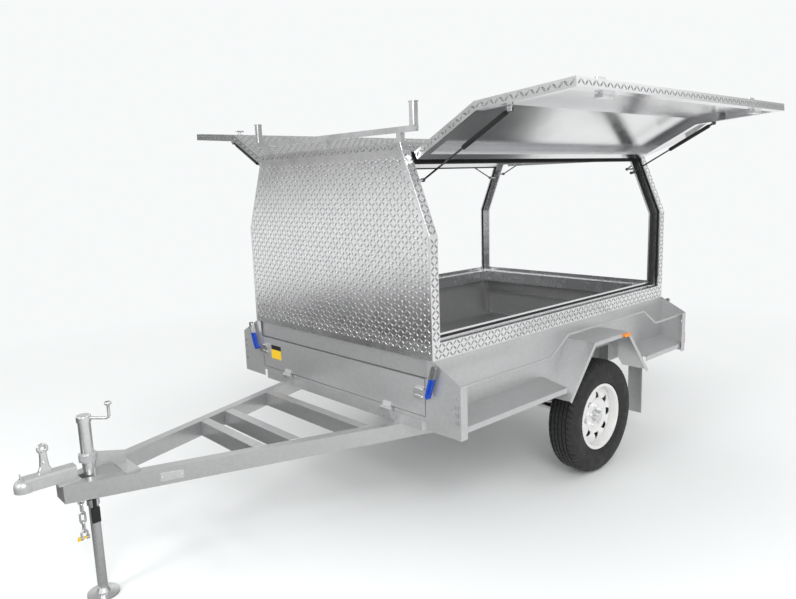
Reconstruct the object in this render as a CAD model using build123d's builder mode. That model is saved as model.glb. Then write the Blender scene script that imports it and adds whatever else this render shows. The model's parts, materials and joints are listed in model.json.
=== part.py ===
"""Tradesman trailer: galvanised box tub with a lift-door canopy, on a single axle and a jack.

Millimetres. +X runs forward to the coupling, +Y to the left side and +Z up.
The origin is on the ground, midway along and across the trailer with its doors up.
"""
from math import atan2, cos, degrees, hypot, radians, sin, sqrt
import os

from build123d import *

os.makedirs("parts", exist_ok=True)

# Tub and chassis
tub_length = 2130.0
tub_width = 1492.0
tub_top = 885.0
sheet = 3.0
chassis_bottom = 540.0
chassis_rail = 50.0
chassis_inset = 81.0
cross_member_reach = 395.0

# Side ledge outside the tub wall
ledge_inner_height = 632.0
ledge_outer_height = 602.0
ledge_lip_height = 575.0
ledge_reach = 154.0
tub_flange = 40.0

# Corner plates
plate_reach = 164.0
plate_bottom = 551.0
plate_outer_top = 800.0
plate_flange = 43.0
plate_inner = 53.0

# Gates at both ends of the tub
gate_bottom = 615.0
gate_top = 792.0
gate_gap = 5.0
gate_depth = 28.0
header_setback = 12.0
header_depth = 33.0
gate_hinge_height = 603.0
gate_hinge_reach = 12.0
gate_hinge_spread = 860.0
gate_hinge_length = 60.0
gate_barrel_radius = 9.0
gate_pin_radius = 5.0
gate_ear = 6.0

# Drawbar
drawbar_width = 50.0
drawbar_height = 75.0
drawbar_nose_reach = 1390.0
drawbar_nose_half_width = 49.0
drawbar_overhang = 4.1
drawbar_tail = 430.0
drawbar_nose_block = 72.0

# Coupling
coupling_overhang = 162.0
socket_outer_radius = 37.0
ball_radius = 25.25
socket_skirt = 18.0
coupling_plate = 8.0
coupling_height = 54.0
coupling_width = 60.0
coupling_tail = 190.0
coupling_base_length = 90.0
coupling_base_setback = 30.0
handle_offset = 117.0
handle_stem_radius = 7.0
handle_height = 120.0
handle_knob_radius = 15.0

# Jack
jack_setback = 120.0
jack_tube_radius = 25.0
jack_tube_wall = 4.0
jack_leg_radius = 20.0
jack_tube_bottom = 408.0
jack_tube_top = 767.0
jack_cap_height = 27.0
jack_cap_radius = 29.0
jack_leg_top = 500.0
jack_foot_radius = 65.0
jack_foot_height = 10.0
jack_travel = 240.0
jack_collar_height = 600.0
jack_collar_length = 30.0
jack_collar_radius = 36.0
jack_mount_tail = 150.0
jack_plate = 8.0

# Safety chain, shackle and lighting plug
chain_reach = 1330.0
lug_drop = 14.0
lug_radius = 13.0
lug_hole_radius = 7.0
lug_thickness = 5.0
link_wire = 4.0
link_length = 48.0
link_width = 20.0
link_gap = 0.3
bow_radius = 12.0
bow_leg = 20.0
bow_eye_radius = 9.0
bow_pin_radius = 4.5
plug_reach = 1285.0
plug_inset = 18.0
plug_width = 34.0
plug_depth = 16.0
plug_neck = 40.0
plug_length = 62.0

# Running gear
axle_to_rear = 890.0
tyre_radius = 326.0
tyre_width = 165.0
track_outset = 36.0
rim_radius = 178.0
rim_flange_radius = 198.0
rim_width = 140.0
axle_beam = 50.0
spring_half_length = 360.0
spring_width = 45.0
spring_thickness = 22.0
spring_eye_height = 482.0
hub_radius = 62.0

# Mudguards
guard_half_base = 410.0
guard_half_top = 180.0
guard_base = 530.0
guard_top = 800.0
guard_reach = 169.0
guard_lip = 22.0
wheel_box_half = 245.0
wheel_box_top = 690.0
wheel_box_depth = 58.0

# Canopy section
canopy_bend = 1443.0
roof_rise = 409.0
roof_inset = 171.0
sill_top = 962.0
sill_width = 76.0
post_depth = 50.0
front_post = 50.0
rear_post = 50.0
roof_fold = 35.0
flange_width = 30.0

# Lift-up doors
door_depth = 38.0
door_gap = 5.0
seal = 3.0
seal_width = 12.0
door_frame = 45.0
hinge_drop = 40.0
hinge_lift = 9.0
side_open = 94.5
rear_open = 110.0
door_hinge_length = 70.0
door_hinge_ear = 10.0
door_barrel_radius = 7.0
door_pin_radius = 3.5
pin_clearance = 0.3

# Gas struts: rod pin on the post, tube pin on the door
strut_inset = 130.0
strut_drop = 155.0
strut_stud_radius = 6.0
strut_pad = 7.0
strut_door_drop = 124.0
strut_door_depth = 50.0
strut_tube_radius = 11.0
strut_bore_radius = 6.0
strut_rod_radius = 4.5
strut_eye_radius = 9.0
strut_eye_width = 12.0
strut_pin_radius = 4.0
strut_tube_length = 290.0
strut_neck = 27.0
rear_strut_inset = 64.0
rear_strut_drop = 100.0
rear_strut_door_drop = 420.0
strut_rod_inside = 40.0
strut_stop = 12.0

half = tub_width / 2
roof_half = half - roof_inset
roof_height = canopy_bend + roof_rise
rear_strut_half = roof_half - rear_strut_inset
axle_setback = tub_length - axle_to_rear
track_half = half + track_outset
chassis_width = tub_width - 2 * chassis_inset
spring_track = (chassis_width - chassis_rail) / 2
nose_reach = drawbar_nose_reach + coupling_overhang
jack_reach = drawbar_nose_reach - jack_setback
drawbar_spread = chassis_width / 2 + drawbar_overhang - drawbar_nose_half_width
drawbar_slope = drawbar_spread / (drawbar_nose_reach + drawbar_tail)
cross_member_offsets = (
    drawbar_tail,
    axle_setback - cross_member_reach,
    axle_setback + cross_member_reach,
)
# Free bays between the drawbar's rails: far end and near end, from the tub's front
drawbar_bays = (
    (drawbar_nose_reach - drawbar_nose_block, 650.0),
    (600.0, 490.0),
    (440.0, 170.0),
    (120.0, -600.0),
)
chassis_top = chassis_bottom + chassis_rail
floor_top = chassis_top + sheet
flange_depth = door_depth + door_gap + seal
strut_pin_depth = flange_depth + sheet + strut_pad
wheel_height = tyre_radius


def along(start, end, distance):
    """Point at a distance from start towards end, in a plane."""
    length = hypot(end[0] - start[0], end[1] - start[1])
    share = distance / length
    return (start[0] + (end[0] - start[0]) * share, start[1] + (end[1] - start[1]) * share)


def shifted(points, distance):
    """The open path moved to its left by a distance, with mitred corners."""
    moved = []
    last = len(points) - 1
    for index, (across, up) in enumerate(points):
        before = points[max(index - 1, 0)]
        after = points[min(index + 1, last)]
        start = (across, up) if index == 0 else before
        end = after if index == 0 else (across, up)
        first = atan2(end[1] - start[1], end[0] - start[0])
        start = (across, up) if index < last else before
        end = after if index < last else (across, up)
        second = atan2(end[1] - start[1], end[0] - start[0])
        middle = (first + second) / 2
        reach = distance / cos((second - first) / 2)
        moved.append((across - reach * sin(middle), up + reach * cos(middle)))
    return moved


def band(points, near, far):
    """Closed outline between two depths to the right of a path."""
    return shifted(points, -near) + shifted(points, -far)[::-1]


def outline(points, mode=Mode.ADD):
    """Filled face inside a closed run of points, wound to face the sketch's own side."""
    turns = zip(points, points[1:] + points[:1])
    area = sum(a[0] * b[1] - b[0] * a[1] for a, b in turns)
    Polygon(*(points if area > 0 else points[::-1]), mode=mode)


def turned(point, centre, angle):
    """Point turned about a centre by an angle in degrees."""
    across = point[0] - centre[0]
    up = point[1] - centre[1]
    c = cos(radians(angle))
    s = sin(radians(angle))
    return (centre[0] + across * c - up * s, centre[1] + across * s + up * c)


# Canopy side, down from the roof's corner: across and up
roof_corner = (roof_half, roof_height)
bend_point = (half, canopy_bend)


def side_path(start_drop, end_height):
    """Canopy side from a distance down its slope to a height on its upright part."""
    return [along(roof_corner, bend_point, start_drop), bend_point, (half, end_height)]


def inset_half_width(height, inset):
    """Half width of the canopy's section at a height, drawn in by an inset."""
    lean = hypot(half - roof_half, roof_height - canopy_bend)
    out = (roof_height - canopy_bend) / lean
    rise = (half - roof_half) / lean
    sloped = roof_half + (-inset - rise * (height - roof_height)) / out
    return min(half - inset, sloped)


def inset_bend(inset):
    """Height of the section's bend when it is drawn in by an inset."""
    lean = hypot(half - roof_half, roof_height - canopy_bend)
    out = (roof_height - canopy_bend) / lean
    rise = (half - roof_half) / lean
    return roof_height - (inset + out * (half - inset - roof_half)) / rise


def section(inset, bottom, top):
    """Closed canopy section drawn in by an inset, between two heights."""
    right_side = [
        (half - inset, bottom),
        (half - inset, inset_bend(inset)),
        (inset_half_width(top, inset), top),
    ]
    return right_side + [(-across, up) for across, up in right_side[::-1]]


# Hinge lines and how far the raised doors reach
side_hinge = shifted([along(roof_corner, bend_point, hinge_drop), bend_point], hinge_lift)[0]
rear_hinge_height = roof_height - hinge_drop
rear_door_bottom = sill_top + door_gap
rear_door_drop = rear_hinge_height - rear_door_bottom
rear_reach = tub_length + hinge_lift + rear_door_drop * sin(radians(rear_open))
rear_reach = rear_reach - hinge_lift * cos(radians(rear_open))

# The tub's front face, so that the whole trailer is centred on the origin
front = (rear_reach - nose_reach) / 2
rear = front - tub_length
axle_x = front - axle_setback


def front_rail_face(reach):
    """Half width of the drawbar's outer faces at a distance ahead of the tub."""
    return drawbar_nose_half_width + drawbar_slope * (drawbar_nose_reach - reach)


drawbar_skew = sqrt(1 + drawbar_slope ** 2)


def bay_half_width(reach):
    """Half width between the drawbar's inner faces at a distance ahead of the tub."""
    return max(front_rail_face(reach) - drawbar_width * drawbar_skew, 1.0)


# Chassis under the tub: a ladder of square tube
with BuildPart() as chassis_frame:
    with BuildSketch(Plane.XY.offset(chassis_bottom)):
        with Locations(((front + rear) / 2, 0)):
            Rectangle(tub_length, chassis_width)
            Rectangle(tub_length - 2 * chassis_rail, chassis_width - 2 * chassis_rail, mode=Mode.SUBTRACT)
        for offset_back in cross_member_offsets:
            with Locations((front - offset_back, 0)):
                Rectangle(chassis_rail, chassis_width - chassis_rail)
    extrude(amount=chassis_rail)
chassis_frame.part.label = "chassis_frame"
export_step(chassis_frame.part, "parts/chassis_frame.step")

# Drawbar: two rails that run together at the nose, with cross members
with BuildPart() as drawbar:
    with BuildSketch(Plane.XY.offset(chassis_bottom - drawbar_height)):
        outline([
            (front + drawbar_nose_reach, drawbar_nose_half_width),
            (front - drawbar_tail, front_rail_face(-drawbar_tail)),
            (front - drawbar_tail, -front_rail_face(-drawbar_tail)),
            (front + drawbar_nose_reach, -drawbar_nose_half_width),
        ])
        for far_end, near_end in drawbar_bays:
            bay = [
                (front + far_end, bay_half_width(far_end)),
                (front + near_end, bay_half_width(near_end)),
                (front + near_end, -bay_half_width(near_end)),
                (front + far_end, -bay_half_width(far_end)),
            ]
            outline(bay, mode=Mode.SUBTRACT)
    extrude(amount=drawbar_height)
drawbar.part.label = "drawbar"
export_step(drawbar.part, "parts/drawbar.step")

# Coupling: pressed body with a socket for the ball
socket_x = front + nose_reach - socket_outer_radius
coupling_base = chassis_bottom + coupling_plate
ball_centre = coupling_base + socket_skirt
dome_top = ball_centre + socket_outer_radius
with BuildPart() as coupling:
    with BuildSketch(Plane.XY.offset(chassis_bottom)):
        with Locations((front + drawbar_nose_reach - coupling_base_setback, 0)):
            RectangleRounded(coupling_base_length, 2 * drawbar_nose_half_width, coupling_plate)
    extrude(amount=coupling_plate)
    with BuildSketch(Plane.XY.offset(coupling_base)):
        with Locations((socket_x - coupling_tail / 2, 0)):
            Rectangle(coupling_tail, coupling_width)
    extrude(amount=coupling_height)
    top_edges = coupling.edges().filter_by(Axis.X).sort_by(Axis.Z)[-2:]
    fillet(top_edges, 12)
    with BuildSketch(Plane.XZ) as dome:
        with BuildLine():
            Line((socket_x, coupling_base), (socket_x + socket_outer_radius, coupling_base))
            Line((socket_x + socket_outer_radius, coupling_base), (socket_x + socket_outer_radius, ball_centre))
            CenterArc((socket_x, ball_centre), socket_outer_radius, 0, 90)
            Line((socket_x, dome_top), (socket_x, coupling_base))
        make_face()
    revolve(axis=Axis((socket_x, 0, 0), (0, 0, 1)))
    with BuildSketch(Plane.XZ):
        with BuildLine():
            Line((socket_x, coupling_base - 1), (socket_x + ball_radius, coupling_base - 1))
            Line((socket_x + ball_radius, coupling_base - 1), (socket_x + ball_radius, ball_centre))
            CenterArc((socket_x, ball_centre), ball_radius, 0, 90)
            Line((socket_x, ball_centre + ball_radius), (socket_x, coupling_base - 1))
        make_face()
    revolve(axis=Axis((socket_x, 0, 0), (0, 0, 1)), mode=Mode.SUBTRACT)
coupling.part.label = "coupling"
export_step(coupling.part, "parts/coupling.step")

# Coupling handle: an upright pull with a round knob
handle_x = front + nose_reach - handle_offset
handle_base = coupling_base + coupling_height
with BuildPart() as coupling_handle:
    with BuildSketch(Plane.XZ):
        with BuildLine():
            Polyline(
                (handle_x, handle_base),
                (handle_x + 2 * handle_stem_radius, handle_base),
                (handle_x + 2 * handle_stem_radius, handle_base + handle_stem_radius),
                (handle_x + handle_stem_radius, handle_base + 2 * handle_stem_radius),
                (handle_x + handle_stem_radius, handle_base + handle_height - 2 * handle_knob_radius),
                (handle_x + handle_knob_radius, handle_base + handle_height - handle_knob_radius),
            )
            ThreePointArc(
                (handle_x + handle_knob_radius, handle_base + handle_height - handle_knob_radius),
                (
                    handle_x + handle_knob_radius * sqrt(0.5),
                    handle_base + handle_height - handle_knob_radius * (1 - sqrt(0.5)),
                ),
                (handle_x, handle_base + handle_height),
            )
            Line((handle_x, handle_base + handle_height), (handle_x, handle_base))
        make_face()
    revolve(axis=Axis((handle_x, 0, 0), (0, 0, 1)))
coupling_handle.part.label = "coupling_handle"
export_step(coupling_handle.part, "parts/coupling_handle.step")

# Jack: outer tube with its cap
jack_x = front + jack_reach
jack_bore = jack_tube_radius - jack_tube_wall
with BuildPart() as jack_tube:
    with BuildSketch(Plane.XY.offset(jack_tube_bottom)):
        with Locations((jack_x, 0)):
            Circle(jack_tube_radius)
    extrude(amount=jack_tube_top - jack_tube_bottom)
    with BuildSketch(Plane.XY.offset(jack_tube_top)):
        with Locations((jack_x, 0)):
            Circle(jack_cap_radius)
    extrude(amount=jack_cap_height)
    fillet(jack_tube.edges().filter_by(GeomType.CIRCLE).sort_by(Axis.Z)[-1], 6)
    with BuildSketch(Plane.XY.offset(jack_tube_bottom)):
        with Locations((jack_x, 0)):
            Circle(jack_bore)
    extrude(amount=jack_tube_top - jack_tube_bottom, mode=Mode.SUBTRACT)
jack_tube.part.label = "jack_tube"
export_step(jack_tube.part, "parts/jack_tube.step")

# Jack mount: plate across the rails, web and collar
mount_x = jack_x - jack_mount_tail
mount_reach = jack_reach - jack_mount_tail
with BuildPart() as jack_mount:
    with BuildSketch(Plane.XY.offset(chassis_bottom)):
        with Locations((mount_x + 15, 0)):
            Rectangle(60, 2 * bay_half_width(mount_reach) + 1.2 * drawbar_width)
    extrude(amount=jack_plate)
    with BuildSketch(Plane.XZ.offset(-jack_plate / 2)):
        outline([
            (mount_x, chassis_bottom + jack_plate),
            (mount_x, chassis_bottom + 60),
            (jack_x - jack_tube_radius - 2, jack_collar_height + jack_collar_length),
            (jack_x - jack_tube_radius - 2, jack_collar_height - 20),
            (mount_x + 45, chassis_bottom + jack_plate),
        ])
    extrude(amount=jack_plate)
    with BuildSketch(Plane.XY.offset(jack_collar_height)):
        with Locations((jack_x, 0)):
            Circle(jack_collar_radius)
    extrude(amount=jack_collar_length)
    with BuildSketch(Plane.XY.offset(chassis_bottom)):
        with Locations((jack_x, 0)):
            Circle(jack_tube_radius)
    extrude(amount=jack_tube_top - chassis_bottom, mode=Mode.SUBTRACT)
jack_mount.part.label = "jack_mount"
export_step(jack_mount.part, "parts/jack_mount.step")

# Jack crank: short shaft out of the cap to the left, with an upturned grip
crank_z = jack_tube_top - 14
crank_reach = 120.0
crank_radius = 6.0
crank_rise = 70.0
crank_knob_radius = 15.0
with BuildPart() as jack_crank:
    with BuildLine(Plane.YZ.offset(jack_x)) as crank_line:
        FilletPolyline(
            (jack_tube_radius, crank_z),
            (crank_reach, crank_z),
            (crank_reach, crank_z + crank_rise),
            radius=20,
        )
    with BuildSketch(Plane((jack_x, jack_tube_radius, crank_z), x_dir=(1, 0, 0), z_dir=(0, 1, 0))):
        Circle(crank_radius)
    sweep(path=crank_line.line)
    with BuildSketch(Plane.XY.offset(crank_z + crank_rise)):
        with Locations((jack_x, crank_reach)):
            Circle(crank_knob_radius)
    extrude(amount=crank_knob_radius)
    fillet(jack_crank.edges().filter_by(GeomType.CIRCLE).sort_by(Axis.Z)[-1], crank_radius / 2)
jack_crank.part.label = "jack_crank"
export_step(jack_crank.part, "parts/jack_crank.step")

# Jack leg: inner tube with its foot on the ground
with BuildPart() as jack_leg:
    with BuildSketch(Plane.XZ):
        with BuildLine():
            Polyline(
                (jack_x, 0),
                (jack_x + jack_foot_radius, 0),
                (jack_x + jack_foot_radius, jack_foot_height),
                (jack_x + jack_leg_radius + 8, jack_foot_height + 4),
                (jack_x + jack_leg_radius, jack_foot_height + 22),
                (jack_x + jack_leg_radius, jack_leg_top),
                (jack_x, jack_leg_top),
                close=True,
            )
        make_face()
    revolve(axis=Axis((jack_x, 0, 0), (0, 0, 1)))
jack_leg.part.label = "jack_leg"
export_step(jack_leg.part, "parts/jack_leg.step")

# Safety chain under the left rail: a lug, three links and a shackle with its pin
chain_x = front + chain_reach
chain_y = front_rail_face(chain_reach) - drawbar_width / 2
rail_low_face = chassis_bottom - drawbar_height
lug_hole_height = rail_low_face - lug_drop
with BuildPart() as chain_lug:
    with BuildSketch(Plane.XZ.offset(-chain_y - lug_thickness / 2)):
        with Locations((chain_x, lug_hole_height)):
            Circle(lug_radius)
        with Locations((chain_x, (rail_low_face + lug_hole_height) / 2)):
            Rectangle(2 * lug_radius, rail_low_face - lug_hole_height)
        with Locations((chain_x, lug_hole_height)):
            Circle(lug_hole_radius, mode=Mode.SUBTRACT)
    extrude(amount=lug_thickness)
chain_lug.part.label = "chain_lug"
export_step(chain_lug.part, "parts/chain_lug.step")

link_bend = link_width / 2
link_straight = link_length - link_width
edge_drop = link_bend - link_wire - sqrt((link_bend - link_wire) ** 2 - (lug_thickness / 2) ** 2)
first_top = lug_hole_height - lug_hole_radius + edge_drop + link_gap + link_wire
link_pitch = link_length - 2 * link_wire - link_gap
link_planes = ((0, 1, 0), (1, 0, 0), (0, 1, 0))
with BuildPart() as safety_chain:
    for index, direction in enumerate(link_planes):
        middle = first_top - link_length / 2 - index * link_pitch
        plane = Plane((chain_x, chain_y, middle), x_dir=direction, z_dir=(direction[1], -direction[0], 0))
        with BuildLine(plane) as link_line:
            Line((link_bend, -link_straight / 2), (link_bend, link_straight / 2))
            CenterArc((0, link_straight / 2), link_bend, 0, 180)
            Line((-link_bend, link_straight / 2), (-link_bend, -link_straight / 2))
            CenterArc((0, -link_straight / 2), link_bend, 180, 180)
        start = plane.from_local_coords((link_bend, -link_straight / 2, 0))
        with BuildSketch(Plane(start, x_dir=direction, z_dir=(0, 0, 1))):
            Circle(link_wire)
        sweep(path=link_line.line)
safety_chain.part.label = "safety_chain"
export_step(safety_chain.part, "parts/safety_chain.step")

last_low = first_top - link_length - 2 * link_pitch
bow_top = last_low + 2 * link_wire + link_gap
bow_centre = bow_top - bow_radius
pin_height = bow_centre - bow_leg
eye_half = link_wire + 1
eye_reach = bow_radius + eye_half
with BuildPart() as shackle:
    with BuildLine(Plane.XZ.offset(-chain_y)) as bow_line:
        Line((chain_x + bow_radius, pin_height), (chain_x + bow_radius, bow_centre))
        CenterArc((chain_x, bow_centre), bow_radius, 0, 180)
        Line((chain_x - bow_radius, bow_centre), (chain_x - bow_radius, pin_height))
    with BuildSketch(Plane((chain_x + bow_radius, chain_y, pin_height), z_dir=(0, 0, 1))):
        Circle(link_wire)
    sweep(path=bow_line.line)
    for start in (chain_x - eye_reach, chain_x + eye_reach - 2 * eye_half):
        with BuildSketch(Plane.YZ.offset(start)):
            with Locations((chain_y, pin_height)):
                Circle(bow_eye_radius)
        extrude(amount=2 * eye_half)
    with BuildSketch(Plane.YZ.offset(chain_x - eye_reach - 1)):
        with Locations((chain_y, pin_height)):
            Circle(bow_pin_radius + pin_clearance)
    extrude(amount=2 * eye_reach + 2, mode=Mode.SUBTRACT)
shackle.part.label = "shackle"
export_step(shackle.part, "parts/shackle.step")

with BuildPart() as shackle_pin:
    with BuildSketch(Plane.YZ.offset(chain_x - eye_reach - 3)):
        with Locations((chain_y, pin_height)):
            Circle(bow_pin_radius)
    extrude(amount=2 * eye_reach + 3 + pin_clearance)
    with BuildSketch(Plane.YZ.offset(chain_x + eye_reach + pin_clearance)):
        with Locations((chain_y, pin_height)):
            Circle(bow_eye_radius - 1)
    extrude(amount=5)
    with BuildSketch(Plane.YZ.offset(chain_x + eye_reach + pin_clearance + 5)):
        with Locations((chain_y, pin_height)):
            SlotOverall(26, 8, rotation=60)
    extrude(amount=5)
shackle_pin.part.label = "shackle_pin"
export_step(shackle_pin.part, "parts/shackle_pin.step")

# Lighting plug in its clip under the left rail
plug_x = front + plug_reach
plug_y = front_rail_face(plug_reach) - plug_inset
with BuildPart() as trailer_plug:
    with BuildSketch(Plane.XY.offset(rail_low_face)):
        with Locations((plug_x, plug_y)):
            Rectangle(plug_width + 10, plug_depth + 2)
    extrude(amount=-6)
    with BuildSketch(Plane.XY.offset(rail_low_face - 6)):
        with Locations((plug_x, plug_y)):
            Circle(plug_depth / 2)
    extrude(amount=-plug_neck)
    with BuildSketch(Plane.XY.offset(rail_low_face - 6 - plug_neck)):
        with Locations((plug_x, plug_y)):
            RectangleRounded(plug_width, plug_depth, 4)
    extrude(amount=-plug_length)
trailer_plug.part.label = "trailer_plug"
export_step(trailer_plug.part, "parts/trailer_plug.step")

# Tub floor, notched for the wheel boxes
wheel_box_inner = half - wheel_box_depth
with BuildPart() as tub_floor:
    with BuildSketch(Plane.XY.offset(chassis_top)):
        with Locations(((front + rear) / 2, 0)):
            Rectangle(tub_length - 2 * sheet, tub_width - 2 * sheet)
        for side in (1, -1):
            with Locations((axle_x, side * half)):
                Rectangle(2 * wheel_box_half, 2 * wheel_box_depth, mode=Mode.SUBTRACT)
    extrude(amount=sheet)
tub_floor.part.label = "tub_floor"
export_step(tub_floor.part, "parts/tub_floor.step")

# Tub side: wall with an inward top flange, outer ledge and wheel box
ledge_root = half - sheet / 2
ledge = [
    (ledge_root, ledge_inner_height),
    (half + ledge_reach, ledge_outer_height),
    (half + ledge_reach, ledge_lip_height),
]
wall = [
    (half - tub_flange, tub_top),
    (half, tub_top),
    (half, chassis_top),
]
side_length = tub_length - 2 * sheet
with BuildPart() as tub_side_left:
    with BuildSketch(Plane.YZ.offset(rear + sheet)):
        outline(band(wall, 0, sheet))
        outline(band(ledge, 0, sheet))
    extrude(amount=side_length)
    with BuildSketch(Plane.XY.offset(chassis_top - sheet)):
        with Locations((axle_x, half + plate_reach / 2)):
            Rectangle(2 * guard_half_base + 2 * sheet, plate_reach)
    extrude(amount=ledge_inner_height - chassis_top + 3 * sheet, mode=Mode.SUBTRACT)
    with BuildSketch(Plane.XY.offset(ledge_lip_height - sheet)):
        with Locations((axle_x, half + plate_reach / 2)):
            Rectangle(2 * guard_half_base + 2 * sheet, plate_reach)
    extrude(amount=ledge_inner_height - ledge_lip_height, mode=Mode.SUBTRACT)
    with BuildSketch(Plane.XY.offset(chassis_top)):
        with Locations((axle_x, half)):
            Rectangle(2 * wheel_box_half, 2 * sheet + 2, mode=Mode.ADD)
    extrude(amount=wheel_box_top - chassis_top, mode=Mode.SUBTRACT)
    with BuildSketch(Plane.XY.offset(chassis_top)):
        with Locations((axle_x, half - wheel_box_depth / 2)):
            Rectangle(2 * wheel_box_half, wheel_box_depth)
    extrude(amount=wheel_box_top - chassis_top)
    with BuildSketch(Plane.XY.offset(chassis_top)):
        with Locations((axle_x, half - wheel_box_depth / 2 + sheet)):
            Rectangle(2 * wheel_box_half - 2 * sheet, wheel_box_depth)
    extrude(amount=wheel_box_top - chassis_top - sheet, mode=Mode.SUBTRACT)
tub_side_left.part.label = "tub_side_left"
export_step(tub_side_left.part, "parts/tub_side_left.step")

with BuildPart() as tub_side_right:
    add(mirror(tub_side_left.part, about=Plane.XZ))
tub_side_right.part.label = "tub_side_right"
export_step(tub_side_right.part, "parts/tub_side_right.step")

# Tub headers above the two gates
header_bottom = gate_top + gate_gap
with BuildPart() as tub_headers:
    for face, inward in ((front, -1), (rear, 1)):
        skin = face + inward * header_setback
        back = face + inward * (header_setback + header_depth)
        fold = [(back, header_bottom), (skin, header_bottom), (skin, tub_top), (back, tub_top)]
        with BuildSketch(Plane.XZ.offset(-half + tub_flange)):
            if inward < 0:
                outline(shifted(fold, sheet)[::-1] + fold)
            else:
                outline(shifted(fold, -sheet)[::-1] + fold)
        extrude(amount=tub_width - 2 * tub_flange)
tub_headers.part.label = "tub_headers"
export_step(tub_headers.part, "parts/tub_headers.step")

# Corner plates: wings outside the tub at its four corners
plate_outer = half + plate_reach
gate_half = half - plate_inner
wing = [
    (gate_half, plate_bottom),
    (plate_outer, plate_bottom),
    (plate_outer, plate_outer_top),
    (half, tub_top),
    (half, header_bottom),
    (gate_half, header_bottom),
]
tie_hole = (plate_outer - 21, 742.0)
tie_slots = [(plate_outer - across, up) for across in (16, 30) for up in (630.0, 665.0, 700.0)]
for name, start, depth_start in (("front", front - sheet, front - plate_flange), ("rear", rear, rear)):
    with BuildPart() as corner_plates:
        for side in (1, -1):
            with BuildSketch(Plane.YZ.offset(start)):
                outline([(side * across, up) for across, up in wing])
            extrude(amount=sheet)
            with BuildSketch(Plane.YZ.offset(depth_start)):
                outline([
                    (side * plate_outer, plate_bottom),
                    (side * plate_outer, plate_outer_top),
                    (side * (plate_outer - sheet), plate_outer_top),
                    (side * (plate_outer - sheet), plate_bottom),
                ])
            extrude(amount=plate_flange)
            with BuildSketch(Plane.YZ.offset(start)):
                with Locations((side * tie_hole[0], tie_hole[1])):
                    Circle(7)
                if name == "front":
                    for across, up in tie_slots:
                        with Locations((side * across, up)):
                            SlotOverall(22, 5, rotation=90)
            extrude(amount=sheet, mode=Mode.SUBTRACT)
    corner_plates.part.label = "corner_plates_" + name
    export_step(corner_plates.part, "parts/corner_plates_" + name + ".step")

# Gate hinges on the chassis: two ears with a pin, twice at each end
hinge_span = gate_hinge_length / 2 + gate_ear
with BuildPart() as gate_hinge_pins:
    for face, outward in ((front, 1), (rear, -1)):
        axis_x = face + outward * gate_hinge_reach
        for centre in (gate_hinge_spread / 2, -gate_hinge_spread / 2):
            for ear in (centre + hinge_span + 0.5, centre - gate_hinge_length / 2 - 0.5):
                with BuildSketch(Plane.XZ.offset(-ear)):
                    outline([
                        (face, chassis_bottom + 8),
                        (face, chassis_top),
                        (axis_x - outward * gate_barrel_radius, gate_hinge_height + 4),
                        (axis_x, gate_hinge_height + gate_barrel_radius),
                        (axis_x + outward * gate_barrel_radius, gate_hinge_height),
                        (axis_x + outward * 4, chassis_bottom + 20),
                    ])
                extrude(amount=gate_ear)
            with BuildSketch(Plane.XZ.offset(-centre - hinge_span)):
                with Locations((axis_x, gate_hinge_height)):
                    Circle(gate_pin_radius)
            extrude(amount=2 * hinge_span)
gate_hinge_pins.part.label = "gate_hinge_pins"
export_step(gate_hinge_pins.part, "parts/gate_hinge_pins.step")

# Gates: pressed pans with ribs, hinged at their lower edges
gate_half_width = gate_half - gate_gap
gate_mid = (gate_bottom + gate_top) / 2
for name, face, outward in (("front", front, 1), ("rear", rear, -1)):
    axis_x = face + outward * gate_hinge_reach
    with BuildPart() as gate:
        with BuildSketch(Plane.YZ.offset(face)):
            with Locations((0, gate_mid)):
                Rectangle(2 * gate_half_width, gate_top - gate_bottom)
        extrude(amount=-outward * gate_depth)
        with BuildSketch(Plane.YZ.offset(face - outward * sheet)):
            with Locations((0, gate_mid)):
                Rectangle(2 * (gate_half_width - sheet), gate_top - gate_bottom - 2 * sheet)
        extrude(amount=-outward * gate_depth, mode=Mode.SUBTRACT)
        for centre in (gate_hinge_spread / 2, -gate_hinge_spread / 2):
            with BuildSketch(Plane.XZ.offset(-centre - gate_hinge_length / 2)):
                with Locations((axis_x, gate_hinge_height)):
                    Circle(gate_barrel_radius)
                outline([
                    (face, gate_hinge_height + gate_barrel_radius + 22),
                    (face, gate_hinge_height + 14),
                    (axis_x - outward * gate_barrel_radius, gate_hinge_height),
                    (axis_x, gate_hinge_height + gate_barrel_radius),
                    (face + outward * 4, gate_hinge_height + gate_barrel_radius + 22),
                ])
                with Locations((axis_x, gate_hinge_height)):
                    Circle(gate_pin_radius + pin_clearance, mode=Mode.SUBTRACT)
            extrude(amount=gate_hinge_length)
    gate.part.label = "gate_" + name
    export_step(gate.part, "parts/gate_" + name + ".step")

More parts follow.
